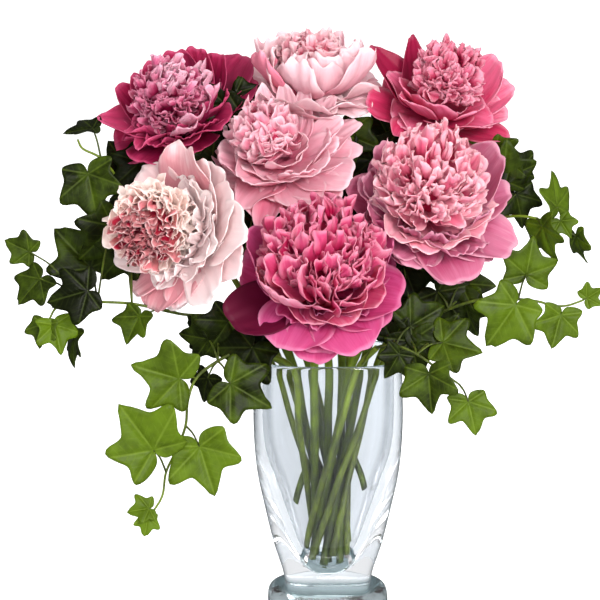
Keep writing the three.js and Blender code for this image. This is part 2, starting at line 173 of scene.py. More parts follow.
def loft(rings: Array, start: Array | None, end: Array | None, values: dict[str, Array]) -> Part:
    """A closed skin through rings of points, with a pole at each end.

    Args:
        rings: rows by columns by 3; seen from outside, rows go up where columns go to the right.
        start: the pole before the first ring, or None for its centre.
        end: the pole after the last ring, or None for its centre.
        values: grids of values; a pole takes its ring's mean.

    Returns:
        The skin.
    """
    rows, columns = rings.shape[:2]
    number = np.arange(rows * columns).reshape(rows, columns)
    right = np.roll(number, -1, axis=1)
    quads = np.stack([number[:-1], right[:-1], right[1:], number[1:]], axis=-1).reshape(-1, 4)
    first, last = rows * columns, rows * columns + 1
    low = np.stack([right[0], number[0], np.full(columns, first)], axis=-1)
    high = np.stack([number[-1], right[-1], np.full(columns, last)], axis=-1)
    start = rings[0].mean(axis=0) if start is None else start
    end = rings[-1].mean(axis=0) if end is None else end
    points = np.concatenate([rings.reshape(-1, 3), start[None], end[None]])
    spread = {
        name: np.concatenate([grid.reshape(rows * columns, -1), grid[0].reshape(columns, -1).mean(0)[None],
                              grid[-1].reshape(columns, -1).mean(0)[None]])
        for name, grid in values.items()}
    return Part(points, [quads, low, high], spread)


def tube(path: Array, radius: Array | float, sides: int) -> Part:
    """A round bar along a path: circles square to it, started from a direction that no path takes.

    Args:
        path: points along the bar's middle.
        radius: one number, or one for each point.
        sides: corners of its section.

    Returns:
        The bar, with a value "along" in millimetres from its first end.
    """
    slope = unit(np.gradient(path, axis=0))
    across = unit(np.cross(slope, UNUSED_WAY))
    other = np.cross(slope, across)
    angle = np.linspace(0, 2 * np.pi, sides, endpoint=False)
    radius = np.broadcast_to(radius, len(path))[:, None, None]
    circle = across[:, None] * np.cos(angle)[:, None] + other[:, None] * np.sin(angle)[:, None]
    rings = path[:, None] + radius * circle
    run = np.concatenate([[0.0], np.cumsum(np.linalg.norm(np.diff(path, axis=0), axis=1))])
    return loft(rings, path[0], path[-1], {"along": np.repeat(run[:, None], sides, axis=1)})


def place_piece(name: str, parts: list[Part], material: bpy.types.Material,
                nodes: list[str]) -> bpy.types.Object:
    """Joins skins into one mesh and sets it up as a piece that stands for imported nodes.

    Args:
        name: the piece's name.
        parts: its skins, in millimetres.
        material: its finish.
        nodes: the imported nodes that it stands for.

    Returns:
        The new object, at the origin with its place in its mesh.
    """
    starts = np.cumsum([0] + [len(part.points) for part in parts])
    points = np.concatenate([part.points for part in parts]) * MM
    faces = [block + start for part, start in zip(parts, starts) for block in part.faces]
    flat = np.concatenate([np.full(len(block), bool(part.flat and part.flat[i]))
                           for part in parts for i, block in enumerate(part.faces)])
    sizes = np.concatenate([np.full(len(block), block.shape[1]) for block in faces])
    mesh = bpy.data.meshes.new(name)
    mesh.vertices.add(len(points))
    mesh.vertices.foreach_set("co", points.astype(np.float32).ravel())
    mesh.loops.add(int(sizes.sum()))
    corners = np.concatenate([block.ravel() for block in faces])
    mesh.loops.foreach_set("vertex_index", corners.astype(np.int32))
    mesh.polygons.add(len(sizes))
    mesh.polygons.foreach_set("loop_start", np.concatenate([[0], np.cumsum(sizes)[:-1]]).astype(np.int32))
    mesh.polygons.foreach_set("use_smooth", ~flat)
    for value in parts[0].values:
        data = np.concatenate([part.values[value] for part in parts])
        kind, key = ("FLOAT_VECTOR", "vector") if data.shape[1] == 3 else ("FLOAT", "value")
        mesh.attributes.new(value, kind, "POINT").data.foreach_set(key, data.astype(np.float32).ravel())
    mesh.update(calc_edges=True)
    mesh.materials.append(material)
    piece = bpy.data.objects.new(name, mesh)
    bpy.context.scene.collection.objects.link(piece)
    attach(piece, BODY)
    if nodes:
        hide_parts(*nodes)
    LOG.info("%s: %d triangles for %s", name, int((sizes - 2).sum()),
             ", ".join(nodes) or "no node of its own")
    return piece


def node_points(name: str) -> Array:
    """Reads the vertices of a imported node.

    Args:
        name: the node.

    Returns:
        Its points in millimetres, one per row.
    """
    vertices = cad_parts[name].data.vertices
    flat = np.empty(len(vertices) * 3, np.float32)
    vertices.foreach_get("co", flat)
    return flat.reshape(-1, 3).astype(float) / MM


# ---------------------------------------------------------------- material recipes
class Number:
    """A number that changes over a surface. Arithmetic on it adds Math nodes to its recipe."""

    def __init__(self, recipe: "Recipe", socket: bpy.types.NodeSocket) -> None:
        """Wraps an output socket of the recipe."""
        self.recipe = recipe
        self.socket = socket

    def math(self, operation: str, *others: "Number | float", first: bool = True) -> "Number":
        """One Math node on this number and others.

        Args:
            operation: the node's operation.
            others: its other inputs.
            first: whether this number comes before them.

        Returns:
            The node's result.
        """
        values = [self, *others] if first else [*others, self]
        node = self.recipe.node("ShaderNodeMath", {"operation": operation}, dict(enumerate(values)))
        return Number(self.recipe, node.outputs[0])

    def __add__(self, other: "Number | float") -> "Number":
        """This number plus another."""
        return self.math("ADD", other)

    def __sub__(self, other: "Number | float") -> "Number":
        """This number less another."""
        return self.math("SUBTRACT", other)

    def __rsub__(self, other: float) -> "Number":
        """Another number less this one."""
        return self.math("SUBTRACT", other, first=False)

    def __mul__(self, other: "Number | float") -> "Number":
        """This number times another."""
        return self.math("MULTIPLY", other)

    __radd__ = __add__

    def step(self, low: float, high: float) -> "Number":
        """A smooth step: 3t^2 - 2t^3 of the share t of the way from low to high.

        Args:
            low: where it leaves 0.
            high: where it reaches 1.

        Returns:
            The step.
        """
        settings = {"interpolation_type": "SMOOTHSTEP"}
        inputs = {"Value": self, "From Min": low, "From Max": high, "To Min": 0.0, "To Max": 1.0}
        return Number(self.recipe, self.recipe.node("ShaderNodeMapRange", settings, inputs).outputs[0])


class Recipe:
    """The nodes of a material or a world under construction."""

    def __init__(self, owner: bpy.types.Material | bpy.types.World) -> None:
        """Empties the owner's node tree.

        Args:
            owner: the material or world.
        """
        self.owner = owner
        self.owner.use_nodes = True
        self.tree = owner.node_tree
        self.tree.nodes.clear()

    @classmethod
    def new(cls, name: str) -> "Recipe":
        """A recipe for a new material of that name."""
        return cls(bpy.data.materials.new(name))

    def node(self, kind: str, settings: dict | None = None, inputs: dict | None = None) -> bpy.types.Node:
        """Adds any node.

        Args:
            kind: the node's type.
            settings: its properties, which are set first.
            inputs: values, numbers or sockets for its input sockets, by name or position.

        Returns:
            The node.
        """
        node = self.tree.nodes.new(kind)
        for key, setting in (settings or {}).items():
            setattr(node, key, setting)
        for key, value in (inputs or {}).items():
            value = value.socket if isinstance(value, Number) else value
            if isinstance(value, bpy.types.NodeSocket):
                self.tree.links.new(value, node.inputs[key])
            else:
                node.inputs[key].default_value = value
        return node

    def attribute(self, name: str) -> Number:
        """A value that the mesh carries."""
        return Number(self, self.node("ShaderNodeAttribute", {"attribute_name": name}).outputs["Fac"])

    def scaled(self, vector: bpy.types.NodeSocket, scale: Point) -> bpy.types.NodeSocket:
        """A vector multiplied along each axis."""
        return self.node("ShaderNodeVectorMath", {"operation": "MULTIPLY"}, {0: vector, 1: scale}).outputs[0]

    def grain(self, scale: Point) -> bpy.types.NodeSocket:
        """The place on a flat petal that the mesh carries, scaled along each axis."""
        source = self.node("ShaderNodeAttribute", {"attribute_name": "grain"})
        return self.scaled(source.outputs["Vector"], scale)

    def object_vector(self) -> bpy.types.NodeSocket:
        """The place in the object's own coordinates."""
        return self.node("ShaderNodeTexCoord").outputs["Object"]

    def noise(self, vector: bpy.types.NodeSocket, scale: float, detail: float) -> Number:
        """Noise about one half."""
        inputs = {"Vector": vector, "Scale": scale, "Detail": detail, "Roughness": 0.55}
        return Number(self, self.node("ShaderNodeTexNoise", None, inputs).outputs["Fac"])

    def mix(self, factor: Number, low: "Screen | bpy.types.NodeSocket",
            high: "Screen | bpy.types.NodeSocket") -> bpy.types.NodeSocket:
        """A mix of two colours.

        Args:
            factor: the share of the second, kept between 0 and 1.
            low: the first, a screen colour or a socket.
            high: the second.

        Returns:
            The socket of the mixed colour.
        """
        colours = [(*linear(c), 1.0) if isinstance(c, tuple) else c for c in (low, high)]
        inputs = {0: factor, 6: colours[0], 7: colours[1]}
        return self.node("ShaderNodeMix", {"data_type": "RGBA", "clamp_factor": True}, inputs).outputs[2]

    def ramp(self, place: Number, stops: tuple[tuple[float, Colour], ...]) -> bpy.types.NodeSocket:
        """A colour that runs in straight lines from stop to stop.

        Args:
            place: how far along it is.
            stops: the places in rising order, each with its linear colour.

        Returns:
            The socket of the colour.
        """
        node = self.node("ShaderNodeValToRGB", None, {0: place})
        elements = node.color_ramp.elements
        elements.remove(elements[1])
        elements[0].position = stops[0][0]
        for at, _ in stops[1:]:
            elements.new(at)
        for element, (_, colour) in zip(elements, stops):
            element.color = (*colour, 1.0)
        return node.outputs[0]

    def bump(self, height: Number, strength: float, distance: float) -> bpy.types.NodeSocket:
        """A normal that follows a height; the distance is in metres."""
        inputs = {"Height": height, "Strength": strength, "Distance": distance}
        return self.node("ShaderNodeBump", None, inputs).outputs[0]

    def surface(self, through: Number | None = None, glow: Screen = (255, 255, 255),
                **inputs: object) -> bpy.types.Material:
        """Ends the recipe with a Principled shader, mixed with one that lets light through thin tissue.

        Args:
            through: the share of the light that the tissue lets through, or None for a solid one.
            glow: the colour of that light.
            inputs: the Principled shader's sockets, named with underscores.

        Returns:
            The finished material.
        """
        named = {key.replace("_", " "): value for key, value in inputs.items()}
        shader = self.node("ShaderNodeBsdfPrincipled", None, named)
        if through is not None:
            thin = self.node("ShaderNodeBsdfTranslucent", None, {"Color": (*linear(glow), 1.0)})
            both = {0: through, 1: shader.outputs[0], 2: thin.outputs[0]}
            shader = self.node("ShaderNodeMixShader", None, both)
        self.node("ShaderNodeOutputMaterial", None, {"Surface": shader.outputs[0]})
        return self.owner


@dataclass(frozen=True)
class PetalFinish:
    """The screen colours of a petal, from the deep one at its claw to the pale one along its edge.

    The deep colour is partly the claw's own and partly painted shade in the crevices between petals,
    where the claws sit, and the pale edge is partly the petal's own paler edge and partly a painted
    highlight. `rim_width` is that edge's width in millimetres and `pale_edge_and_highlight` its strength,
    `pull` how strongly a petal's tone makes it paler, `depth` how far its colours are shifted towards
    the claw's deep colour, which deepens that painted shade, and `through` the share of the light that
    a pale petal lets through.
    """

    name: str
    deep: Screen
    body: Screen
    tip: Screen
    rim: Screen
    rim_width: float = 5.5
    pull: float = 0.6
    depth: float = 0.0
    through: float = 0.42
    pale_edge_and_highlight: float = 0.15

    def material(self) -> bpy.types.Material:
        """Colour by place along the petal, veins that fan out along it, a pale rim and a satin skin.

        The place is the distance along the petal plus three noises and the petal's tone, each less a
        half and times a weight. Smooth steps of it blend the four colours; the deep one at low places is
        partly painted shade in the crevices between petals, and the pale rim partly a painted highlight.

        Returns:
            The material.
        """
        r = Recipe.new(self.name)
        along, edge, tone, face = (r.attribute(name) for name in ("along", "edge", "tone", "face"))
        vein = r.noise(r.grain((1.1, 0.03, 1.0)), 1.0, 2.0)
        streak = r.noise(r.grain((0.4, 0.04, 1.0)), 1.0, 3.0)
        cloud = r.noise(r.grain((0.09, 0.06, 1.0)), 1.0, 2.0)
        # Low places take the deep colour: partly the claw's own and partly painted shade in the crevices
        # between petals. `depth` moves the place towards it.
        place = (along + (streak - 0.5) * 0.6 + (vein - 0.5) * 0.5 + (cloud - 0.5) * 0.5
                 + (tone - 0.5) * self.pull - self.depth)
        colour = r.mix(place.step(0.0, 0.5), self.deep, self.body)
        colour = r.mix(place.step(0.42, 1.0), colour, self.tip)
        colour = r.mix(place.step(0.95, 1.5) * 0.85, colour, self.rim)
        # Pale edge: partly the petal's own paler edge and partly a painted highlight.
        strength = self.pale_edge_and_highlight + tone * 0.4 + cloud * 0.3
        pale = (1.0 - edge.step(0.0, self.rim_width)) * along.step(0.35, 0.7) * strength
        colour = r.mix(pale, colour, self.rim)
        colour = r.mix(face * 0.15 * along.step(0.1, 0.6), colour, self.tip)
        normal = r.bump(streak * 0.6 + vein * 0.4 + cloud * 0.5, 0.4, 0.0009)
        through = (tone.step(-0.9, 0.3) * 0.8 + 0.2) * self.through
        return r.surface(through, self.tip, Base_Color=colour, Roughness=0.42 + streak * 0.16, Normal=normal,
                         Specular_IOR_Level=0.26)


@dataclass(frozen=True)
class LeafFinish:
    """Ivy leaf: green from dark to yellow-green by the leaf's tone, with pale veins from its stalk."""

    name: str
    # The dark green is partly the leaf's own and partly painted shade for leaves that lie in shadow.
    dark: Screen
    bright: Screen
    vein: Screen
    under: Screen

    def material(self) -> bpy.types.Material:
        """Green mottled between the veins, pale veins, a duller underside and a waxy gloss.

        The leaf's tone plus two noises blends dark into bright. A main vein is where the distance from
        it is near 0, and a branch where a triangle wave of the place along and beside it is.

        Returns:
            The material.
        """
        r = Recipe.new(self.name)
        vein, side, tone, face = (r.attribute(name) for name in ("vein", "side", "tone", "face"))
        spot = r.object_vector()
        mottle = r.noise(spot, 95.0, 3.0)
        patch = r.noise(spot, 34.0, 2.0)
        green = tone + (mottle - 0.5) * 0.7 + (patch - 0.5) * 0.7
        colour = r.mix(green.step(0.0, 1.0), self.dark, self.bright)
        main = 1.0 - vein.step(0.006, 0.03)
        branch = (1.0 - side.math("PINGPONG", 0.5).step(0.03, 0.13)) * (1.0 - vein.step(0.12, 0.3)) * 0.28
        lines = main.math("MAXIMUM", branch)
        colour = r.mix(lines * (0.08 + tone * 0.32), colour, self.vein)
        colour = r.mix(face * 0.7, colour, self.under)
        height = (1.0 - vein.step(0.0, 0.1)) * -0.7 + branch * -0.6 + mottle * 0.5
        return r.surface(Base_Color=colour, Roughness=0.36 + mottle * 0.2 + face * 0.25,
                         Normal=r.bump(height, 0.5, 0.0009), Specular_IOR_Level=0.13)


@dataclass(frozen=True)
class StemFinish:
    """Fresh or woody stem, streaked along its length."""

    name: str
    shade: Screen
    light: Screen
    rough: float

    def material(self) -> bpy.types.Material:
        """Two tones in long streaks, with fine ribs as bump.

        The blend is a weighted sum of a noise drawn out along the stem, a rounder noise and a smooth
        step of the distance from its cut end. That step leaves a stem darker within 90 mm of its cut end,
        low in the vase, and lighter from 170 mm on: painted shade against the light that the glass
        reflects over it.

        Returns:
            The material.
        """
        r = Recipe.new(self.name)
        spot = r.object_vector()
        streak = r.noise(r.scaled(spot, (1.0, 1.0, 0.12)), 420.0, 2.0)
        blotch = r.noise(spot, 45.0, 2.0)
        along = r.attribute("along")
        # Painted shade: darker within 90 mm of the cut end, low in the vase, against the light that the glass
        # reflects over the stems.
        place = (streak - 0.5) * 0.9 + (blotch - 0.5) * 1.1 + along.step(90.0, 170.0) * 0.5 + 0.3
        colour = r.mix(place.step(0.0, 1.0), self.shade, self.light)
        return r.surface(Base_Color=colour, Roughness=self.rough + streak * 0.15,
                         Normal=r.bump(streak, 0.3, 0.0006), Specular_IOR_Level=0.4)


@dataclass(frozen=True)
class GlassFinish:
    """Clear thick glass, greyer where it is seen edge on and in its heavy foot.

    The grey where it is seen edge on is painted shade, for the dark lines that refraction and
    reflection draw along its outlines. The foot's colour gives way between the two heights of
    `foot_top`, in metres.
    """

    name: str
    tint: Screen
    edge: Screen
    foot: Screen
    foot_top: tuple[float, float] = (0.015, 0.024)
    index: float = 1.47

    def material(self) -> bpy.types.Material:
        """Smooth clear glass whose surface waves very slightly, as pressed glass does.

        One smooth step of the height blends the foot's colour into the body's, and one of how
        grazing the view is blends in the edge's grey, a painted shade.

        Returns:
            The material.
        """
        r = Recipe.new(self.name)
        spot = r.object_vector()
        wave = r.noise(spot, 22.0, 1.0)
        height = Number(r, r.node("ShaderNodeSeparateXYZ", None, {0: spot}).outputs["Z"])
        grazing = Number(r, r.node("ShaderNodeLayerWeight", None, {"Blend": 0.5}).outputs["Facing"])
        colour = r.mix(1.0 - height.step(*self.foot_top), self.tint, self.foot)
        # Painted shade: grey where the glass is seen edge on, for the dark lines along its outlines.
        colour = r.mix(grazing.step(0.45, 0.95), colour, self.edge)
        return r.surface(Base_Color=colour, Roughness=0.0, Transmission_Weight=1.0, IOR=self.index,
                         Normal=r.bump(wave, 0.04, 0.002))


# ---------------------------------------------------------------- petals
@dataclass(frozen=True)
class PetalForm:
    """The shape of a petal, in millimetres and degrees.

    `lean` is the angle between the petal's middle line and the bloom's axis at its claw, half way and
    at its tip. `roll` is half the arc that its section spans, positive where the edges turn inwards,
    `claw` the width of its foot in shares of the greatest, and `peak` how far along it is widest. The
    frill of height `ruffle` runs round the point `frill_middle` of the way along it, `crease` is the
    height of its `folds`, and `wobble` that of a slow wave. `cells` are its grid's steps across and along.
    """

    length: float
    width: float
    lean: tuple[float, float, float]
    roll: float
    claw: float = 0.34
    peak: float = 0.5
    sharp: float = 0.0
    notch: float = 0.03
    ruffle: float = 1.5
    waves: float = 1.6
    ragged: float = 0.012
    crease: float = 0.35
    folds: float = 4.2
    wobble: float = 2.0
    thickness: float = 0.5
    frill_middle: float = 0.42
    cells: tuple[int, int] = (16, 10)

    def flat(self, phase: Array) -> tuple[Array, Array, Array, Array]:
        """The petal laid flat.

        Below its widest place the half width grows from the claw as a power of a sine. Above it a
        square grid is drawn in to half an ellipse: across by sqrt(1 - t^2 / 2) and along by
        sqrt(1 - u^2 / 2). Two sines nick the tip's edge, and a bell curve notches it.

        Args:
            phase: where its waves start, in radians.

        Returns:
            Grids of the place across from -1 to 1 and along from 0 to 1, before the drawing in, and of
            the half width and the place along after it.
        """
        u = np.linspace(-1, 1, self.cells[0] + 1)[:, None]
        v = np.linspace(0, 1, self.cells[1] + 1)[None, :]
        beyond = np.maximum(v - self.peak, 0) / (1 - self.peak)
        rise = np.sin(np.pi / 2 * np.minimum(v / self.peak, 1)) ** 1.3
        half = self.width / 2 * (self.claw + (1 - self.claw) * rise) * (1 - self.sharp * beyond**1.6)
        half = half * np.sqrt(1 - 0.5 * beyond**2)
        nick = np.sin(self.waves * 2.3 * u + phase[0]) + 0.5 * np.sin(self.waves * 4.9 * u + phase[1])
        s = np.minimum(v, self.peak) + (1 - self.peak) * beyond * np.sqrt(1 - 0.5 * u**2)
        s = s - self.ragged * (1 + nick) * beyond**2
        return u, v, half, s - self.notch * np.exp(-((u / 0.25) ** 2)) * beyond**3

    def relief(self, u: Array, v: Array, half: Array, s: Array, phase: Array) -> tuple[Array, Array]:
        """How far the petal's points lie from its middle line.

        The section is an arc of the roll's angle. Sines of the angle round the frill's middle, which
        grow towards the edge, frill it, and sines of the place across fold it.

        Args:
            u: the place across from -1 to 1.
            v: the place along from 0 to 1.
            half: the half width.
            s: the place along after drawing in.
            phase: where its waves start, in radians.

        Returns:
            Grids of the distances to the side and inwards.
        """
        bend = np.radians(self.roll) * (0.5 + 0.5 * v)
        side = half * np.sin(bend * u) / bend
        lift = half * (1 - np.cos(bend * u)) / bend
        sidewise = 2 * half * u / self.width
        upwise = (s - self.frill_middle) / (1 - self.frill_middle)
        round_it = np.arctan2(sidewise, upwise)
        frill = self.ruffle * ease(np.hypot(sidewise, upwise), 0.3, 1.1) * ease(v, 0.05, 0.5)
        lift = lift + frill * (np.sin(self.waves * 1.7 * round_it + phase[2])
                               + 0.45 * np.sin(self.waves * 4.1 * round_it + phase[3]))
        lift = lift + self.wobble * v**2 * np.sin(1.5 * u + phase[5])
        lift = lift + self.crease * np.sin(self.folds * np.pi * u + phase[6]) * ease(v, 0.1, 0.5)
        return side + 0.4 * frill * np.sin(self.waves * 2.9 * round_it + phase[7]), lift


@dataclass(frozen=True)
class Seat:
    """Where a petal grows: a point and the two directions it leans between.

    `spin` turns its section about its middle line, in radians, and `tip_at_point` hangs it by its tip.
    """

    point: Array
    axis: Array
    out: Array
    spin: float = 0.0
    tip_at_point: bool = False


def middle_line(lean: tuple[float, float, float]) -> Array:
    """The middle line of a petal one long.

    The lean runs as a quadratic through its three values, and the line is its integral.

    Args:
        lean: degrees from the axis at the claw, half way and at the tip.

    Returns:
        Rows of place along the line, lean in radians, distance outwards and distance up.
    """
    t = np.linspace(0, 1, 49)
    base, middle, tip = np.radians(lean)
    angle = base * (1 - t) ** 2 + (4 * middle - base - tip) * t * (1 - t) + tip * t**2
    slopes = np.stack([np.sin(angle), np.cos(angle)])
    runs = np.cumsum((slopes[:, 1:] + slopes[:, :-1]) / 2, axis=1) / (len(t) - 1)
    return np.vstack([t, angle, np.pad(runs, ((0, 0), (1, 0)))])


def petal(form: PetalForm, seat: Seat, tone: float, rng: np.random.Generator) -> Part:
    """One petal as a closed thin sheet.

    Its points lie to the side and inwards of its middle line, which leans out from the bloom's axis.
    The sheet thins evenly along it, from 1.5 to 0.6 times the form's thickness.

    Args:
        form: its shape.
        seat: where it grows.
        tone: how pale it is; 0 is deep and 1 is pale, and it may lie beyond either.
        rng: the source of its own variations.

    Returns:
        The petal, with values for place along it, distance from its edge, tone, face and grain.
    """
    phase = rng.uniform(0, 2 * np.pi, 8)
    u, v, half, s = form.flat(phase)
    side, lift = form.relief(u, v, half, s, phase)
    line = middle_line(form.lean)
    here, out_run, up_run = (np.interp(s, line[0], row) for row in line[1:])
    outward, axis = seat.out, seat.axis
    sideways = np.cross(outward, axis)
    inner = -np.cos(here)[..., None] * outward + np.sin(here)[..., None] * axis
    turned_side = math.cos(seat.spin) * sideways + math.sin(seat.spin) * inner
    turned_inner = math.cos(seat.spin) * inner - math.sin(seat.spin) * sideways
    points = form.length * (out_run[..., None] * outward + up_run[..., None] * axis)
    points = points + side[..., None] * turned_side + lift[..., None] * turned_inner
    if seat.tip_at_point:
        points = points - form.length * (line[2, -1] * outward + line[3, -1] * axis)
    margin = np.minimum(half * (1 - np.abs(u)), form.length * (1 - v))
    grain = np.stack(np.broadcast_arrays(u * form.width / 2, s * form.length, rng.uniform(0, 90)), axis=-1)
    values = {"along": s, "edge": margin, "tone": np.full_like(s, tone), "grain": grain}
    thickness = form.thickness * (1.5 - 0.9 * v) * np.ones_like(u)
    return thin_sheet(seat.point + points, thickness, values)


@dataclass(frozen=True)
class Ring:
    """Petals of one form spaced round a bloom; angles are in degrees from its right-hand side.

    `root` and `height` are how far out from and along the axis the claws sit, in millimetres. `twist`
    turns each petal about its middle line, `hang` is added to the lean of one that points straight down,
    and `scatter` is how far they stray from equal angles.
    """

    count: int
    form: PetalForm
    start: float
    root: float = 7.0
    height: float = 1.0
    twist: float = 9.0
    hang: float = 16.0
    tone: float = 0.4
    scatter: float = 7.0


@dataclass(frozen=True)
class Lobe:
    """One listed petal.

    `right` and `up` are where its tip shows from the front, in millimetres from the ball's middle;
    `middle` and `tip` are its lean in degrees half way and at its tip, and `height` is how far along
    the bloom's axis its claw sits.
    """

    right: float
    up: float
    width: float
    middle: float
    tip: float
    roll: float = 26.0
    tone: float = 0.5
    sharp: float = 0.0
    frill: float = 1.0
    height: float = 3.0


@dataclass(frozen=True)
class Crowd:
    """The inner petals of a bloom's ball; pairs run from its crown to its skirt.

    `size` and the lengths are shares of the ball's radius, widths are millimetres. `reach` is how far
    from the crown the last tips lie, in degrees. `curl` is how far the tips lean back towards the crown
    from the radius, in degrees, `spin` how freely petals turn about their own lines, and `proud` how
    unevenly they stand out. `aim` moves the crown to the right and up, in shares of the ball's radius,
    and `shift` the whole crowd to the right, up and along the bloom's axis, in millimetres. A `lined`
    crowd has its lining under it.
    """

    count: int = 100
    size: float = 1.0
    reach: float = 120.0
    length: tuple[float, float] = (0.6, 0.9)
    width: tuple[float, float] = (20.0, 30.0)
    roll: tuple[float, float] = (34.0, 40.0)
    curl: tuple[float, float] = (44.0, 66.0)
    spin: tuple[float, float] = (70.0, 24.0)
    tone: tuple[float, float] = (0.35, 0.6)
    ruffle: float = 2.8
    waves: float = 2.0
    crease: float = 0.9
    proud: float = 0.12
    aim: tuple[float, float] = (0.0, 0.0)
    shift: tuple[float, float, float] = (0.0, 0.0, 0.0)
    cells: tuple[int, int] = (15, 6)
    lined: bool = True

    def lining(self) -> "Crowd":
        """Broader, deeper coloured petals that lie close under these and fill the gaps.

        Returns:
            The crowd of them.
        """
        return replace(self, count=50, size=0.84 * self.size, length=(0.6, 1.0), width=(9.0, 30.0),
                       roll=(50.0, 44.0), curl=(40.0, 84.0), spin=(80.0, 20.0), cells=(10, 5),
                       tone=(self.tone[0] - 0.35, self.tone[1] - 0.3), ruffle=1.4, proud=0.03)


@dataclass
class Bloom:
    """One double peony: guard petals listed one by one and in rings, and a ball of inner petals.

    The `lobes` have the guards' finish and the `inner` ones the heart's. `claw_lean` is a lobe's lean
    at its claw in degrees and `lobe_lengths` the shortest and the longest. Petals that would push into
    another bloom are pressed back to less than `press_depth`, and left out from `left_out_depth` on,
    all but the `lobes`.
    """

    number: int
    slot: str
    guard_finish: PetalFinish
    heart_finish: PetalFinish
    lobes: list[Lobe]
    inner: list[Lobe]
    rings: list[Ring]
    crowds: list[Crowd]
    seat_depth: float = 2.0
    lobe_root: float = 6.0
    claw_lean: float = 84.0
    lobe_lengths: tuple[float, float] = (24.0, 105.0)
    press_depth: float = 20.0
    left_out_depth: float = 26.0
    core_size: float = 0.6

    def __post_init__(self) -> None:
        """Reads the bloom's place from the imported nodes."""
        self.rng = np.random.default_rng(BLOOM_SEED + self.number)
        heart = np.unique(node_points(f"heart_petals_{self.number}").round(2), axis=0)
        self.centre, self.radius = self.ball_through(heart)
        cup = node_points(f"guard_petals_{self.number}")
        floor = cup[np.argmin(np.linalg.norm(cup - self.centre, axis=1))]
        self.axis = unit(self.centre - floor)
        self.across = unit(np.cross([0.0, 0.0, 1.0], self.axis))
        self.upward = np.cross(self.axis, self.across)
        self.compass = np.stack([self.across, self.upward, self.axis])
        self.base = floor - self.seat_depth * self.axis
        self.spread = float(np.linalg.norm(cup - self.base, axis=1).max())

    @staticmethod
    def ball_through(points: Array) -> tuple[Array, float]:
        """The sphere that most of the points lie on.

        Least squares: |p|^2 = 2 c.p + (r^2 - |c|^2). Points that lie on a flat cut are left out, a
        few at a time, and the sphere is fitted again.

        Args:
            points: points on the ball and on its cuts.

        Returns:
            Its centre and radius.
        """
        for allowed in (6.0, 4.0, 3.0, 2.4):
            system = np.hstack([2 * points, np.ones((len(points), 1))])
            answer = np.linalg.lstsq(system, (points**2).sum(axis=1), rcond=None)[0]
            centre = answer[:3]
            radius = math.sqrt(answer[3] + centre @ centre)
            off = np.abs(np.linalg.norm(points - centre, axis=1) - radius)
            points = points[off < max(allowed, np.percentile(off, 50))]
        return centre, radius

    def outward(self, degrees: float) -> Array:
        """The direction at an angle round the bloom, from its right-hand side over its upper side."""
        angle = math.radians(degrees)
        return math.cos(angle) * self.across + math.sin(angle) * self.upward

    def guard_ring(self, ring: Ring) -> list[Part]:
        """Petals spaced round the cup, each a little unlike the others.

        Their angles are equal shares of the circle plus a scatter, and those that point down lean out
        further by their share of `hang`.

        Args:
            ring: the ring.

        Returns:
            Its petals.
        """
        parts = []
        draw = self.rng.uniform
        plain = ring.form
        for i in range(ring.count):
            angle = ring.start + 360 * i / ring.count + draw(-1, 1) * ring.scatter
            out = self.outward(angle)
            drop = ring.hang * max(0.0, -out[2]) + draw(-6, 6)
            base, middle, tip = plain.lean
            form = replace(
                plain, length=plain.length * draw(0.93, 1.07), width=plain.width * draw(0.9, 1.1),
                lean=(base, middle + 0.5 * drop, tip + drop), roll=plain.roll * draw(0.8, 1.25),
                ruffle=plain.ruffle * draw(0.7, 1.4), waves=plain.waves * draw(0.8, 1.2),
                wobble=draw(-2.5, 2.5))
            seat = Seat(self.base + ring.root * out + ring.height * self.axis, self.axis, out,
                        math.radians(ring.twist + draw(-4, 4)))
            parts.append(petal(form, seat, ring.tone + draw(-0.2, 0.2), self.rng))
        return parts

    def lobe_petal(self, lobe: Lobe) -> Part:
        """A listed petal.

        Its angle round the bloom and its length are found in turns: each length gives the height of
        its tip, and what is left of the way to the tip's place gives the next angle and length.

        Args:
            lobe: the petal's tip, leans and shape.

        Returns:
            The petal.
        """
        down = math.radians(Studio.look_down)
        view = np.array([[1, 0, 0], [0, math.sin(down), math.cos(down)]])
        lean = (self.claw_lean, lobe.middle, lobe.tip)
        reach, height = middle_line(lean)[2:, -1]
        goal = np.array([lobe.right, lobe.up]) - view @ (self.base + lobe.height * self.axis - self.centre)
        plane = np.stack([view @ self.across, view @ self.upward], axis=1)
        shortest, longest = self.lobe_lengths
        length = FIRST_LENGTH
        for _ in range(LENGTH_TURNS):
            round_it = np.linalg.solve(plane, goal - length * height * (view @ self.axis))
            wanted = (np.linalg.norm(round_it) - self.lobe_root) / max(reach, 0.2)
            length = 0.5 * length + 0.5 * min(max(wanted, shortest), longest)
        out = unit(round_it) @ self.compass[:2]
        pointed = lobe.sharp > 0
        form = PetalForm(length, lobe.width, lean, lobe.roll, peak=0.5 if pointed else 0.62,
                         sharp=lobe.sharp, ruffle=1.2 * lobe.frill, waves=1.4 * (0.6 + 0.4 * lobe.frill),
                         ragged=0.014 * lobe.frill, notch=0.0 if pointed else 0.03,
                         wobble=self.rng.uniform(-1.5, 1.5), cells=(20, 12))
        seat = Seat(self.base + self.lobe_root * out + lobe.height * self.axis, self.axis, out)
        return petal(form, seat, lobe.tone, self.rng)

    def shifted(self, crowd: Crowd) -> Array:
        """The middle of a crowd."""
        return self.centre + np.array(crowd.shift) @ self.compass

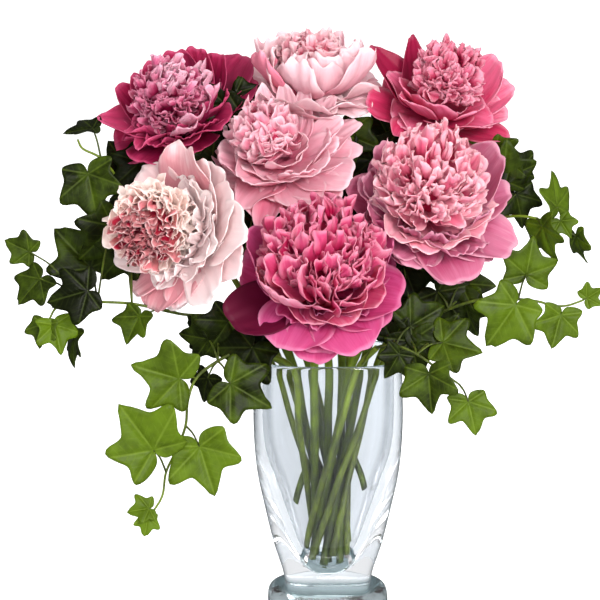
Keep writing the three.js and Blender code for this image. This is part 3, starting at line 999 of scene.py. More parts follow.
    def crowd_petals(self, crowd: Crowd) -> list[Part]:
        """Petals whose tips are spread evenly over the ball, by the golden angle, down to `reach`.

        The cosine of a tip's angle from the crown falls in equal steps. Every size runs from its first
        value at the crown to its second at the skirt by that angle, and is then varied at random.

        Args:
            crowd: the crowd.

        Returns:
            Its petals.
        """
        parts = []
        draw = self.rng.uniform
        axis = unit(self.axis + crowd.aim[0] * self.across + crowd.aim[1] * self.upward)
        across = unit(np.cross(self.upward, axis))
        upward = np.cross(axis, across)
        centre = self.shifted(crowd)
        lowest = math.cos(math.radians(crowd.reach))
        for i in range(crowd.count):
            level = 1 - (i + 0.5) / crowd.count * (1 - lowest)
            polar = math.degrees(math.acos(level)) + draw(-5, 5)
            share = min(max(polar / crowd.reach, 0.0), 1.0)
            angle = i * GOLDEN_ANGLE + draw(-0.16, 0.16)
            out = math.cos(angle) * across + math.sin(angle) * upward
            towards = math.sin(math.radians(polar)) * out + math.cos(math.radians(polar)) * axis
            length, width, roll, curl, spin, tone = (
                low + (high - low) * share for low, high in (
                    crowd.length, crowd.width, crowd.roll, crowd.curl, crowd.spin, crowd.tone))
            radius = self.radius * crowd.size
            reach = radius * (0.95 + draw(-1.3, 1) * crowd.proud)
            scale = draw(0.65, 1.35)
            curl = curl * draw(0.7, 1.3)
            form = PetalForm(
                radius * length * draw(0.9, 1.15), width * scale,
                (polar + 14, polar - 0.3 * curl, polar - curl), roll * draw(0.4, 1.7), claw=0.5,
                notch=draw(0, 0.1), ruffle=crowd.ruffle * draw(0.5, 1.2) * scale**0.5,
                waves=crowd.waves * draw(0.6, 1.4), ragged=0.02, crease=crowd.crease * draw(0.3, 1.3),
                folds=2.2, wobble=draw(-3, 3), thickness=0.4, cells=crowd.cells)
            seat = Seat(centre + reach * towards, axis, out,
                        self.rng.normal(0, math.radians(spin)), tip_at_point=True)
            parts.append(petal(form, seat, tone + draw(-0.25, 0.25), self.rng))
        return parts

    def core(self) -> Part:
        """The dense middle of the ball: a sphere with soft bulges, in the petals' deepest colour.

        The bulges are two waves of the angles round and from the axis.

        Returns:
            The sphere.
        """
        polar = np.linspace(0, np.pi, 18)[1:-1][:, None]
        angle = np.linspace(0, 2 * np.pi, 26, endpoint=False)[None, :]
        bulge = 1 + 0.05 * np.sin(5 * angle + 3 * polar) * np.sin(polar)
        bulge = bulge + 0.03 * np.cos(9 * polar + 2 * angle)
        size = self.core_size * self.radius * min(crowd.size for crowd in self.crowds) * bulge
        ball = np.stack([size * np.sin(polar) * np.cos(angle), size * np.sin(polar) * np.sin(angle),
                         -size * np.cos(polar)], axis=-1)
        rings = self.shifted(self.crowds[0]) + ball @ self.compass
        zero = np.zeros(rings.shape[:2])
        return loft(rings, None, None, {"along": zero, "edge": zero + 9.0, "tone": zero, "grain": rings,
                                        "face": zero})

    def pressed(self, parts: list[Part], others: list["Bloom"]) -> list[Part]:
        """Presses petals back where they would push into another bloom.

        The plane between two blooms is where both are equally deep in their spreads. A depth d beyond
        it is drawn back to d / (1 + d / press_depth).

        Args:
            parts: this bloom's petals.
            others: the other blooms.

        Returns:
            The petals with their points moved, without those that would go too deep.
        """
        for other in others:
            gap = other.centre - self.centre
            distance = np.linalg.norm(gap)
            if other is self or distance > self.spread + other.spread:
                continue
            share = distance / 2 + (self.spread**2 - other.spread**2) / (2 * distance)
            normal = gap / distance
            kept = []
            for part in parts:
                beyond = np.maximum((part.points - self.centre) @ normal - share, 0)
                part.points -= (beyond - beyond / (1 + beyond / self.press_depth))[:, None] * normal
                if beyond.max() < self.left_out_depth:
                    kept.append(part)
            parts = kept
        return parts

    def build(self, others: list["Bloom"]) -> None:
        """Makes the two pieces of the bloom above its stem.

        Args:
            others: all the blooms, among which this one may be.
        """
        guards = self.pressed([part for ring in self.rings for part in self.guard_ring(ring)], others)
        guards += [self.lobe_petal(lobe) for lobe in self.lobes]
        place_piece(f"bloom_{self.number}_guard_petals", guards,
                    self.guard_finish.material(), [f"guard_petals_{self.number}"])
        layers = self.crowds + [crowd.lining() for crowd in self.crowds if crowd.lined]
        heart = [part for layer in layers for part in self.crowd_petals(layer)]
        heart += [self.lobe_petal(lobe) for lobe in self.inner]
        place_piece(f"bloom_{self.number}_heart_petals", [*self.pressed(heart, others), self.core()],
                    self.heart_finish.material(), [f"heart_petals_{self.number}"])


# ---------------------------------------------------------------- the vase
@dataclass
class Vase:
    """Thick clear glass of rounded square section: a block foot, a waist and a flared body.

    The profiles are points of half width and height, up the outside of the body and down the cavity.
    """

    squareness: float = 3.3
    columns: int = 144
    foot_half: float = 47.6
    foot_edge: float = 6.5
    neck_half: float = 34.3
    neck_height: float = 14.0
    floor_height: float = 30.0
    rim_height: float = 203.0
    rim_outer: float = 57.2
    rim_inner: float = 52.2
    rim_rise: float = 1.8
    body_profile: tuple[tuple[float, float], ...] = (
        (35.2, 27), (43.2, 54), (49.7, 82), (55.9, 113), (58.6, 152))
    cavity_profile: tuple[tuple[float, float], ...] = (
        (52.4, 150), (50.1, 127), (46.1, 111), (39.7, 92), (33, 73), (25.8, 54), (19, 41.5), (11.5, 33.5))

    def outside(self) -> Array:
        """The outside: a foot with a rounded edge, the shoulder's quarter ellipse, and the flared body.

        Returns:
            Rows of half width and height, upwards.
        """
        turn = np.radians(np.linspace(4, 88, 12))[:, None]
        shoulder = np.hstack([self.neck_half + (self.foot_half - self.neck_half) * np.cos(turn),
                              self.foot_edge + (self.neck_height - self.foot_edge) * np.sin(turn)])
        body = curve_through([(self.neck_half, self.neck_height), *self.body_profile,
                              (self.rim_outer, self.rim_height - 2)], 10)
        foot = np.array([[self.foot_half - 1.6, 0], [self.foot_half - 0.5, 0.4], [self.foot_half, 1.6],
                         [self.foot_half, self.foot_edge - 1]])
        return np.vstack([foot, shoulder, body])

    def rim(self) -> Array:
        """The polished rim, a flattened half circle.

        Returns:
            Rows of half width and height, inwards.
        """
        turn = np.radians(np.linspace(20, 160, 8))[:, None]
        middle = (self.rim_outer + self.rim_inner) / 2
        half = (self.rim_outer - self.rim_inner) / 2
        low = self.rim_height - self.rim_rise
        return np.hstack([middle + half * np.cos(turn), low + self.rim_rise * np.sin(turn)])

    def inside(self) -> Array:
        """The cavity down to its rounded floor, as rows of half width and height."""
        return curve_through([(self.rim_inner, self.rim_height - 2), *self.cavity_profile,
                              (3, self.floor_height + 0.3)], 6)

    def build(self) -> None:
        """Lofts rounded squares |x|^n + |y|^n = half^n through the profile and closes both ends."""
        profile = np.vstack([self.outside(), self.rim(), self.inside()])
        angle = np.linspace(0, 2 * np.pi, self.columns, endpoint=False)
        circle = np.stack([np.cos(angle), np.sin(angle)], axis=-1)
        reach = (np.abs(circle) ** self.squareness).sum(axis=1) ** (-1 / self.squareness)
        flat = reach[:, None] * circle
        rings = np.concatenate([profile[:, None, :1] * flat[None],
                                np.repeat(profile[:, None, 1:], self.columns, axis=1)], axis=2)
        skin = loft(rings, np.zeros(3), np.array([0, 0, self.floor_height]), {})
        finish = GlassFinish("clear_glass", (242, 244, 247), (76, 90, 96), (118, 136, 139))
        piece = place_piece("glass_vase", [skin], finish.material(), ["vase"])
        piece.visible_shadow = False


# ---------------------------------------------------------------- stems
@dataclass(frozen=True)
class Bundle:
    """The stems in the vase: straight lines of one family that skirt the axis at the waist."""

    rim_height: float = 203.0
    waist_height: float = 80.0
    fan_length: float = 45.2

    def line(self, ring: float, rim_angle: float, foot: float) -> Array:
        """Points of a stem from its cut end to just under the rim.

        The distance from the axis grows as ring * sqrt(1 + run^2) and the angle as atan(run), where
        run is the height from the waist in fan lengths, which makes a straight line.

        Args:
            ring: its distance from the axis at the waist.
            rim_angle: the angle at which it passes the rim, in degrees.
            foot: the height of its cut end.

        Returns:
            Four points.
        """
        height = np.array([foot, 90.0, 150.0, self.rim_height - 4])
        run = (height - self.waist_height) / self.fan_length
        swing = math.atan((self.rim_height - self.waist_height) / self.fan_length)
        angle = math.radians(rim_angle) - swing + np.arctan(run)
        radius = ring * np.hypot(1, run)
        return np.stack([radius * np.cos(angle), radius * np.sin(angle), height], axis=-1)


BUNDLE = Bundle()
# Where the seven flower stems pass the rim, in degrees; the third stands in the middle.
RIM_ANGLES = (129, 69, None, 9, 309, 249, 189)


@dataclass
class FlowerStem:
    """The stem of a bloom, with the seat and sepals under its petals.

    `rim_angle` is where it passes the vase's rim in degrees, or None for the stem in the middle,
    `joints` are the places of its swollen nodes in shares of its length, and `lead` the distances
    below the bloom's base between which it follows the bloom's axis. `seat_profile` has radius and
    height from that base.
    """

    bloom: Bloom
    rim_angle: float | None
    finish: StemFinish
    radius: float = 3.4
    ring: float = 10.5
    foot_gap: float = 0.6
    joints: tuple[float, ...] = (0.33, 0.62, 0.8)
    lead: tuple[float, float] = (34.0, 8.0)
    sepal_count: int = 5
    seat_profile: tuple[tuple[float, float], ...] = (
        (2.6, -11), (3.6, -9.5), (5.0, -6.5), (7.6, -3.6), (11.5, -1.6), (13.5, -0.9), (13.2, -0.5),
        (8.0, -0.35))

    def seat_rings(self) -> Part:
        """The swollen seat: a round profile turned about the bloom's axis.

        Returns:
            The seat.
        """
        profile = np.array(self.seat_profile)
        angle = np.linspace(0, 2 * np.pi, 20, endpoint=False)[:, None]
        bloom = self.bloom
        circle = np.cos(angle) * bloom.across + np.sin(angle) * bloom.upward
        rings = bloom.base + profile[:, None, :1] * circle + profile[:, None, 1:] * bloom.axis
        return loft(rings, None, None, {"along": np.zeros(rings.shape[:2])})

    def sepals(self) -> list[Part]:
        """Short pointed leaves, evenly round the seat, that hold the petals from below.

        Returns:
            The leaves.
        """
        parts = []
        bloom = self.bloom
        draw = bloom.rng.uniform
        for i in range(self.sepal_count):
            out = bloom.outward(360 / self.sepal_count * i + draw(-12, 12))
            form = PetalForm(draw(20, 30), draw(11, 15), (96, 84, 78), 24, claw=0.5, sharp=0.7,
                             notch=0.0, ruffle=0.4, ragged=0.0, crease=0.1, wobble=0.5, thickness=0.7,
                             cells=(6, 7))
            seat = Seat(bloom.base + 5 * out - 2.2 * bloom.axis, bloom.axis, out)
            sheet = petal(form, seat, 0.5, bloom.rng)
            sheet.values = {"along": sheet.values["along"] * form.length}
            parts.append(sheet)
        return parts

    def build(self) -> None:
        """Makes the stem, from its cut end in the vase to the seat of its bloom.

        Its radius shrinks evenly along it, plus a bell curve exp(-x^2) at each joint.
        """
        number = self.bloom.number
        node = f"peony_stem_{number}"
        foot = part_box(node)[0].z / MM + self.foot_gap
        ring = 0.0 if self.rim_angle is None else self.ring
        lead = [self.bloom.base - distance * self.bloom.axis for distance in self.lead]
        path = curve_through(np.vstack([BUNDLE.line(ring, self.rim_angle or 0.0, foot), *lead]), 14)
        share = np.linspace(0, 1, len(path))
        swell = 0.18 * np.exp(-(((share[:, None] - np.array(self.joints)) / 0.012) ** 2)).sum(axis=1)
        bar = tube(path, self.radius * (1.02 - 0.12 * share + swell), 16)
        place_piece(f"bloom_{number}_stem", [bar, self.seat_rings(), *self.sepals()],
                    self.finish.material(), [node])


@dataclass(frozen=True)
class CutStubs:
    """Two short side shoots, cut off short, that lean against the inside of the glass."""

    ends: tuple[tuple[Point, Point], ...] = (
        ((-14, 9, 112), (-29, 5, 78)), ((20, 9, 118), (33, 6, 87)))
    radius: float = 3.1

    def build(self, finish: StemFinish) -> None:
        """Makes both as straight round bars, a little thicker at their lower end.

        Args:
            finish: the stems' finish.
        """
        share = np.linspace(0, 1, 9)
        bars = [tube(np.array(start) + share[:, None] * (np.array(end) - np.array(start)),
                     self.radius * (0.9 + 0.1 * share), 14) for start, end in self.ends]
        place_piece("cut_stubs", bars, finish.material(), [])


# ---------------------------------------------------------------- ivy
class Facing(Enum):
    """The side of the arrangement that a spray's leaves show their upper faces to."""

    FRONT = -1.0
    BACK = 1.0


@dataclass(frozen=True)
class SmallLeaf:
    """A leaf that is one with its spray.

    Its stalk runs from the route's point number `at` to its `base`. `turn` turns its face about the
    line to its `tip`, in degrees.
    """

    at: int
    base: Point
    tip: Point
    turn: float
    tone: float


@dataclass(frozen=True)
class LeafShape:
    """The five-lobed blade of an ivy leaf of unit length.

    `outline` gives half of its edge as angle from the middle vein in degrees and distance from the
    stalk. The veins run to the five lobes. `whole` is the length from tip to back, and `face` the
    way in which a small leaf looks before it is turned.
    """

    outline: tuple[tuple[float, float], ...] = (
        (0, 1.0), (8, 0.88), (18, 0.74), (29, 0.65), (38, 0.69), (50, 0.85), (57, 0.86), (66, 0.72),
        (78, 0.57), (90, 0.53), (103, 0.57), (114, 0.6), (124, 0.52), (140, 0.38), (160, 0.24),
        (172, 0.12), (180, 0.04))
    veins: tuple[float, ...] = (0.0, 60.0, 110.0)
    spokes: int = 72
    steps: int = 7
    thickness: float = 0.55
    whole: float = 1.28
    face: Point = (0.0, -0.98, 0.2)

    def edge(self, angle: Array) -> Array:
        """The edge's distance at angles in radians, the same on both sides."""
        fine = curve_through(np.array(self.outline), 8)
        return np.interp(np.degrees(np.abs(angle)), fine[:, 0], fine[:, 1])

    def blade(self, base: Array, along: Array, facing: Array, length: float, tone: float,
              rng: np.random.Generator) -> Part:
        """One leaf blade.

        Rings of points at rising shares of the edge's distance, out under the lower side and back over
        the upper. It sinks along its veins, folds a little about the middle one, droops as the square of
        the distance from the stalk, and waves at its edge.

        Args:
            base: the end of the stalk.
            along: the direction of the middle vein.
            facing: the direction of the upper side.
            length: from the stalk to the tip.
            tone: from dark at 0 to yellow-green at 1.
            rng: the source of its own variations.

        Returns:
            The blade, with values for the veins, tone and face.
        """
        angle = np.linspace(-np.pi, np.pi, self.spokes, endpoint=False)[None, :]
        share = (np.linspace(0, 1, self.steps + 1)[1:] ** 0.9)[:, None]
        stretch = 1 + 0.06 * np.sin(2 * angle + rng.uniform(0, 6))
        stretch = stretch + 0.03 * np.sin(5 * angle + rng.uniform(0, 6))
        stretch = np.where(np.abs(angle) < 0.1, 1.0, stretch)
        radius = share * self.edge(angle) * stretch
        x, y = radius * np.sin(angle), radius * np.cos(angle)
        directions = np.radians(sorted({*self.veins, *(-a for a in self.veins)}))
        away = np.abs((angle[..., None] - directions + np.pi) % (2 * np.pi) - np.pi)
        nearest = away.min(axis=-1)
        vein = radius * np.sin(np.minimum(nearest, np.pi / 2))
        run = radius * np.cos(np.minimum(nearest, np.pi / 2))
        fold, droop, tilt = rng.uniform(0.04, 0.32), rng.uniform(0.05, 0.28), rng.uniform(-0.2, 0.2)
        wave = rng.uniform(0.02, 0.05) * share**2 * np.sin(4 * angle + rng.uniform(0, 6))
        lift = fold * np.abs(x) - droop * radius**2 + tilt * x * y + wave
        lift = lift - 0.035 * np.exp(-((vein / 0.05) ** 2)) * (1 - 0.6 * share)
        sideways = np.cross(along, facing)
        middle = base + length * (x[..., None] * sideways + y[..., None] * along + lift[..., None] * facing)
        half = self.thickness / 2 * (1.15 - 0.5 * share)[..., None] * facing
        rings = np.concatenate([middle - half, (middle + half)[::-1]])[:, ::-1]
        grids = {"vein": vein, "side": (run - 0.75 * vein) * 7.0, "tone": np.full_like(vein, tone)}
        grids = {name: np.concatenate([grid, grid[::-1]])[:, ::-1] for name, grid in grids.items()}
        grids["face"] = np.concatenate([np.ones_like(vein), np.zeros_like(vein)])
        thick = self.thickness / 2 * facing
        return loft(rings, base - thick, base + thick, grids)


IVY_LEAF = LeafShape()


def leaf_on_node(name: str, facing_y: float) -> Place:
    """Reads where a packed leaf lies.

    Its middle is the mean of its faces weighted by area, its tip the point farthest from that, and
    its upper side the normal of its biggest face, turned to the side that its spray faces.

    Args:
        name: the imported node.
        facing_y: -1 for the front, 1 for the back.

    Returns:
        The end of its stalk, the direction to its tip, the direction of its upper side, its length.
    """
    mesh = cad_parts[name].data
    corners = node_points(name)[np.array([v for p in mesh.polygons for v in p.vertices]).reshape(-1, 3)]
    crossed = np.cross(corners[:, 1] - corners[:, 0], corners[:, 2] - corners[:, 0])
    area = np.linalg.norm(crossed, axis=1)
    middle = (corners.mean(axis=1) * area[:, None]).sum(axis=0) / area.sum()
    facing = crossed[np.argmax(area)] / area.max()
    facing = facing * (1.0 if facing[1] * facing_y > 0 else -1.0)
    flat = corners.reshape(-1, 3) - middle
    flat = flat - (flat @ facing)[:, None] * facing
    along = unit(flat[np.argmax(np.linalg.norm(flat, axis=1))])
    reach = flat @ along
    length = (reach.max() - reach.min()) / IVY_LEAF.whole
    return middle + (reach.max() - length) * along, along, facing, length


def turned_leaf(leaf: SmallLeaf) -> Place:
    """The same four things for a small leaf.

    The side that it faces is made square to the line to its tip, and then turned about that line.

    Args:
        leaf: the small leaf.

    Returns:
        The end of its stalk, the direction to its tip, the direction of its upper side, its length.
    """
    base, tip = np.array(leaf.base, float), np.array(leaf.tip, float)
    length = float(np.linalg.norm(tip - base))
    along = (tip - base) / length
    facing = np.array(IVY_LEAF.face)
    facing = unit(facing - (facing @ along) * along)
    turn = math.radians(leaf.turn)
    facing = math.cos(turn) * facing + math.sin(turn) * np.cross(along, facing)
    return base, along, facing, length


@dataclass
class Spray:
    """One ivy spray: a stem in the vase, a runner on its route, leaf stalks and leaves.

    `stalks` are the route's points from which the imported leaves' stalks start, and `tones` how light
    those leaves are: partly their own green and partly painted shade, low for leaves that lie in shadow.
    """

    name: str
    rim_angle: float
    route: list[Point]
    stalks: list[int]
    small: list[SmallLeaf]
    tones: list[float]
    seed: int
    facing: Facing = Facing.FRONT
    ring: float = 16.4
    foot_gap: float = 0.5
    stem_radius: float = 3.0
    runner_radius: float = 1.25
    stalk_radius: float = 0.75

    def stalk(self, start: Array, end: Array) -> Part:
        """A thin stalk that arches upwards by a share of its length and ends in the blade.

        Args:
            start: its place on the runner.
            end: its place at the blade.

        Returns:
            The stalk.
        """
        middle = (start + end) / 2 + np.array([0, 0, 0.12 * np.linalg.norm(end - start)])
        path = curve_through(np.vstack([start, middle, end]), 7)
        return tube(path, np.linspace(1.15, 0.85, len(path)) * self.stalk_radius, 7)

    def build(self, stem: bpy.types.Material, leaf: bpy.types.Material) -> None:
        """Makes the runner, one piece for each packed leaf, and one piece of the small leaves.

        Args:
            stem: the runner's material.
            leaf: the leaves' material.
        """
        rng = np.random.default_rng(self.seed)
        node = f"ivy_spray_{self.name}"
        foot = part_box(node)[0].z / MM + self.foot_gap
        in_vase = BUNDLE.line(self.ring, self.rim_angle, foot)
        route = np.array(self.route, float)
        woody = curve_through(np.vstack([in_vase, route[:1]]), 12)
        runner = curve_through(np.vstack([in_vase[-1:], route]), 9)
        share = np.linspace(0, 1, len(runner))
        parts = [tube(woody, self.stem_radius * np.linspace(1.0, 0.75, len(woody)), 12),
                 tube(runner, self.runner_radius * (1.1 - 0.45 * share), 9)]
        places = [leaf_on_node(f"ivy_leaf_{self.name}_{i + 1}", self.facing.value)
                  for i in range(len(self.stalks))]
        minor = [turned_leaf(small) for small in self.small]
        for at, place in zip([*self.stalks, *(small.at for small in self.small)], places + minor):
            parts.append(self.stalk(route[at], place[0]))
        place_piece(f"ivy_{self.name}_runner", parts, stem, [node])
        for i, (place, tone) in enumerate(zip(places, self.tones)):
            blade = IVY_LEAF.blade(*place, tone, rng)
            place_piece(f"ivy_{self.name}_leaf_{i + 1}", [blade], leaf,
                        [f"ivy_leaf_{self.name}_{i + 1}"])
        blades = [IVY_LEAF.blade(*place, small.tone + rng.uniform(-0.15, 0.15), rng)
                  for place, small in zip(minor, self.small)]
        place_piece(f"ivy_{self.name}_small_leaves", blades, leaf, [])


def leaves(*rows: tuple) -> list[SmallLeaf]:
    """Small leaves from rows of at, base, tip, turn and tone."""
    return [SmallLeaf(*row) for row in rows]


def sprays() -> list[Spray]:
    """The eight sprays, with their runners' points in millimetres from the rim to the tip.

    Returns:
        The sprays, six to the front and then two to the back.
    """
    # Leaf tones are partly each leaf's own green and partly painted shade: low for leaves in shadow, near 0
    # for the small leaves deep among the blooms.
    return [
        Spray("left_upper", 152, seed=11,
              route=[(-78, 34, 262), (-128, 24, 306), (-158, 14, 332), (-176, 3, 356), (-190, 0, 364),
                     (-193, -4, 371)],
              stalks=[3, 3, 2], tones=[0.2, 0.25, 0.05],
              small=leaves(
                  (1, (-160, 6, 300), (-182, -4, 309), -20, 0.1),
                  (1, (-146, 10, 352), (-168, 0, 334), 0, 0.0),
                  (1, (-138, 8, 330), (-152, -2, 296), 10, 0.05))),
        Spray("left_middle", 190, seed=12,
              route=[(-72, -14, 232), (-112, -34, 240), (-150, -44, 250), (-176, -46, 252),
                     (-192, -45, 254), (-207, -48, 248), (-213, -52, 238)],
              stalks=[4, 3, 3, 1], tones=[0.25, 0.15, 0.05, 0.45],
              small=leaves(
                  (4, (-229, -30, 288), (-248, -32, 296), -15, 0.4),
                  (6, (-216, -54, 236), (-221, -58, 218), 20, 0.6),
                  (6, (-208, -56, 236), (-202, -62, 214), -20, 0.7),
                  (6, (-193, -48, 226), (-199, -50, 202), 65, 0.3),
                  (3, (-166, -18, 306), (-190, -26, 280), -20, 0.05),
                  (2, (-152, -20, 290), (-176, -28, 268), 10, 0.0),
                  (2, (-158, -20, 304), (-150, -28, 284), 10, 0.1),
                  (0, (-58, -6, 314), (-66, -12, 284), 0, 0.05),
                  (0, (-50, -16, 250), (-66, -26, 226), 0, 0.05))),
        Spray("left_trailing", 232, seed=13,
              route=[(-64, -54, 216), (-84, -66, 210), (-100, -77, 199), (-106, -82, 184), (-108, -83, 164),
                     (-115, -82, 145), (-123, -83, 128), (-126, -85, 110), (-133, -87, 98)],
              stalks=[2, 6, 4, 1, 1], tones=[0.55, 0.7, 0.7, 0.3, 0.15],
              small=leaves(
                  (1, (-92, -62, 196), (-99, -60, 176), 30, 0.2),
                  (8, (-136, -88, 101), (-152, -92, 100), 15, 0.8),
                  (8, (-137, -88, 94), (-139, -92, 80), -15, 0.9),
                  (1, (-84, -40, 226), (-108, -46, 240), -20, 0.05),
                  (0, (-58, -64, 220), (-76, -72, 192), 15, 0.1),
                  (0, (-54, -30, 214), (-66, -36, 240), 0, 0.0),
                  (0, (-76, -52, 238), (-92, -60, 214), -10, 0.0))),
        Spray("right_upper", 25, seed=14,
              route=[(76, 30, 250), (108, 26, 284), (128, 8, 306), (146, -6, 312), (160, -12, 311),
                     (172, -14, 306), (186, -18, 300)],
              stalks=[2, 2], tones=[0.15, 0.2],
              small=leaves(
                  (1, (130, 10, 363), (148, 8, 352), 30, 0.4),
                  (2, (141, 2, 352), (136, -6, 336), 20, 0.2),
                  (4, (164, -18, 306), (171, -24, 278), 60, 0.4),
                  (5, (176, -12, 320), (173, -8, 348), 55, 0.5),
                  (5, (178, -18, 310), (186, -24, 298), 0, 0.6),
                  (6, (190, -18, 298), (194, -22, 276), 70, 0.6),
                  (2, (134, 0, 340), (138, -8, 372), 20, 0.1))),
        Spray("right_middle", 340, seed=15,
              route=[(64, -26, 226), (92, -34, 244), (122, -42, 254), (144, -46, 254), (160, -46, 252),
                     (170, -46, 249), (181, -46, 249), (193, -46, 253)],
              stalks=[3, 3, 5, 1], tones=[0.5, 0.6, 0.65, 0.3],
              small=leaves(
                  (7, (196, -47, 255), (208, -48, 263), 0, 0.8),
                  (0, (72, -20, 250), (54, -26, 220), 10, 0.05),
                  (1, (84, -26, 256), (106, -32, 232), -10, 0.1),
                  (0, (62, -16, 234), (46, -22, 260), 0, 0.0),
                  (1, (102, -22, 262), (128, -30, 262), -10, 0.1),
                  (0, (72, -8, 288), (56, -14, 258), 0, 0.05),
                  (0, (58, -20, 274), (70, -28, 246), 0, 0.05))),
        Spray("right_low", 300, seed=16,
              route=[(36, -60, 219), (50, -66, 222), (66, -70, 216), (84, -74, 204), (98, -76, 194)],
              stalks=[4, 3, 2, 1], tones=[0.6, 0.35, 0.4, 0.15],
              small=leaves(
                  (1, (52, -80, 218), (42, -84, 200), -10, 0.1),
                  (2, (62, -58, 224), (70, -64, 192), 0, 0.05),
                  (1, (48, -52, 224), (60, -58, 242), 0, 0.0),
                  (2, (84, -50, 222), (98, -56, 244), 0, 0.1))),
        Spray("back_right", 68, seed=17, facing=Facing.BACK,
              route=[(30, 62, 232), (48, 84, 262), (66, 94, 292), (86, 96, 318), (98, 92, 340)],
              stalks=[4, 3, 2, 1], tones=[0.5, 0.35, 0.4, 0.3],
              small=leaves(
                  (2, (34, 24, 352), (24, 18, 382), 0, 0.0),
                  (3, (48, 40, 368), (37, 40, 390), 10, 0.05),
                  (1, (18, 0, 304), (12, -8, 338), 0, 0.0),
                  (2, (14, 22, 372), (40, 16, 362), 0, 0.1))),
        Spray("back_left", 112, seed=18, facing=Facing.BACK,
              route=[(-26, 64, 230), (-44, 84, 258), (-64, 94, 288), (-88, 94, 316), (-106, 86, 340)],
              stalks=[4, 3, 2, 1], tones=[0.45, 0.3, 0.4, 0.35],
              small=leaves(
                  (3, (-62, 38, 384), (-70, 32, 416), 0, 0.05),
                  (2, (-92, 16, 342), (-88, 8, 372), 0, 0.0),
                  (1, (-68, 0, 286), (-78, -8, 322), 0, 0.0),
                  (3, (-72, 30, 404), (-54, 24, 388), 0, 0.1),
                  (2, (-66, 14, 386), (-88, 8, 358), 0, 0.05),
                  (3, (-80, 18, 396), (-94, 12, 366), 0, 0.05),
                  (1, (-50, 6, 330), (-66, 0, 304), 0, 0.05))),
    ]


# ---------------------------------------------------------------- the seven blooms
def rings(wide: float, tone: float, skirt: float = 0.0, frill: float = 1.0) -> list[Ring]:
    """The petals behind and round a ball: open broad ones, and narrower frilled ones that hug it.

    Args:
        wide: the open petals' length.
        tone: how pale they are.
        skirt: the hugging petals' length, or 0 for none.
        frill: how strongly those are frilled.

    Returns:
        The rings.
    """
    made = [Ring(7, PetalForm(wide, wide * 0.86, (88, 78, 76), 20, peak=0.62), 12, tone=tone)]
    if skirt:
        low = PetalForm(skirt, skirt * 0.66, (84, 60, 44), 40, peak=0.6, ruffle=2.4 * frill, crease=0.7,
                        waves=1.9)
        high = PetalForm(skirt * 0.9, skirt * 0.52, (84, 44, 12), 48, peak=0.58, ruffle=2.6 * frill,
                         crease=0.9, waves=1.9)
        made += [Ring(9, low, 30, root=8, height=3, tone=tone + 0.1, scatter=12, hang=10),
                 Ring(10, high, 10, root=9, height=5, tone=tone + 0.2, scatter=14, hang=8)]
    return made


def lobes(*rows: tuple[float, ...]) -> list[Lobe]:
    """Lobes from rows of right, up, width, middle, tip, roll, tone, sharp, frill and height."""
    return [Lobe(*row) for row in rows]


def magenta_bloom() -> Bloom:
    """Upper left: dark magenta guards, a purple-pink ball and narrow pale petals on its right.

    Returns:
        The bloom.
    """
    return Bloom(
        1, "petal_magenta",
        PetalFinish("magenta_guards", (92, 4, 40), (148, 22, 72), (198, 60, 108), (228, 110, 152)),
        PetalFinish("magenta_heart", (134, 10, 58), (188, 48, 104), (222, 116, 160), (246, 204, 220),
                    depth=0.06, pull=0.9),
        lobes((-56, -22, 54, 62, 64, 30, 0.9, 0.35, 1, 9), (-29, 15, 42, 40, 0, 44, 0.4, 0.3, 1, 9),
              (-41, 6, 44, 46, 8, 40, 0.3, 0.25, 1, 8), (-33, -34, 30, 66, 62, 62, 0.9, 0.3, 1, 12),
              (-24, -46, 30, 74, 76, 60, 0.8, 0.3, 1, 10), (-6, -46, 36, 76, 84, 40, 0.3, 0, 1.4, 8),
              (22, 37, 40, 36, 4, 34, 0.5, 0, 1, 6), (3, 36, 38, 34, 2, 36, 0.4, 0, 1, 6),
              (40, 32, 38, 46, 26, 34, 0.2, 0, 1, 4), (-14, 28, 36, 32, 0, 36, 0.4, 0, 1, 6),
              (58, 32, 58, 76, 84, 20, 0.1), (68, 12, 56, 80, 84, 20, 0.2),
              (46, -28, 44, 72, 74, 30, 0.3, 0, 1.4, 5), (20, -44, 42, 76, 82, 40, 0.3, 0, 1.4, 6)),
        lobes((8, -22, 26, 64, 20, 60, 1.3, 0, 2, 15), (25, -18, 26, 64, 20, 60, 1.4, 0, 2, 15),
              (16, -34, 26, 68, 44, 56, 1.2, 0, 2, 13), (24, 25, 13, 40, 0, 64, 1.2, 0, 3, 13),
              (31, 17, 14, 44, 4, 64, 1.3, 0, 3, 13), (36, 4, 13, 50, 8, 64, 1, 0, 3, 13)),
        rings(52, 0.2, 44, 0.8),
        [Crowd(count=180, size=0.8, shift=(5, -8, 0), width=(8, 13), length=(0.5, 0.6), roll=(60, 60),
               spin=(90, 70), crease=0.5, ruffle=1.7, tone=(0.3, 0.1), aim=(0.1, 0.0), cells=(12, 5)),
         Crowd(count=18, size=0.92, shift=(5, -8, 0), reach=34, length=(0.8, 0.9), width=(9, 12),
               roll=(60, 50), curl=(20, 30), spin=(60, 60), tone=(1.4, 1.1), aim=(0.75, 0.2), cells=(10, 6),
               lined=False)])


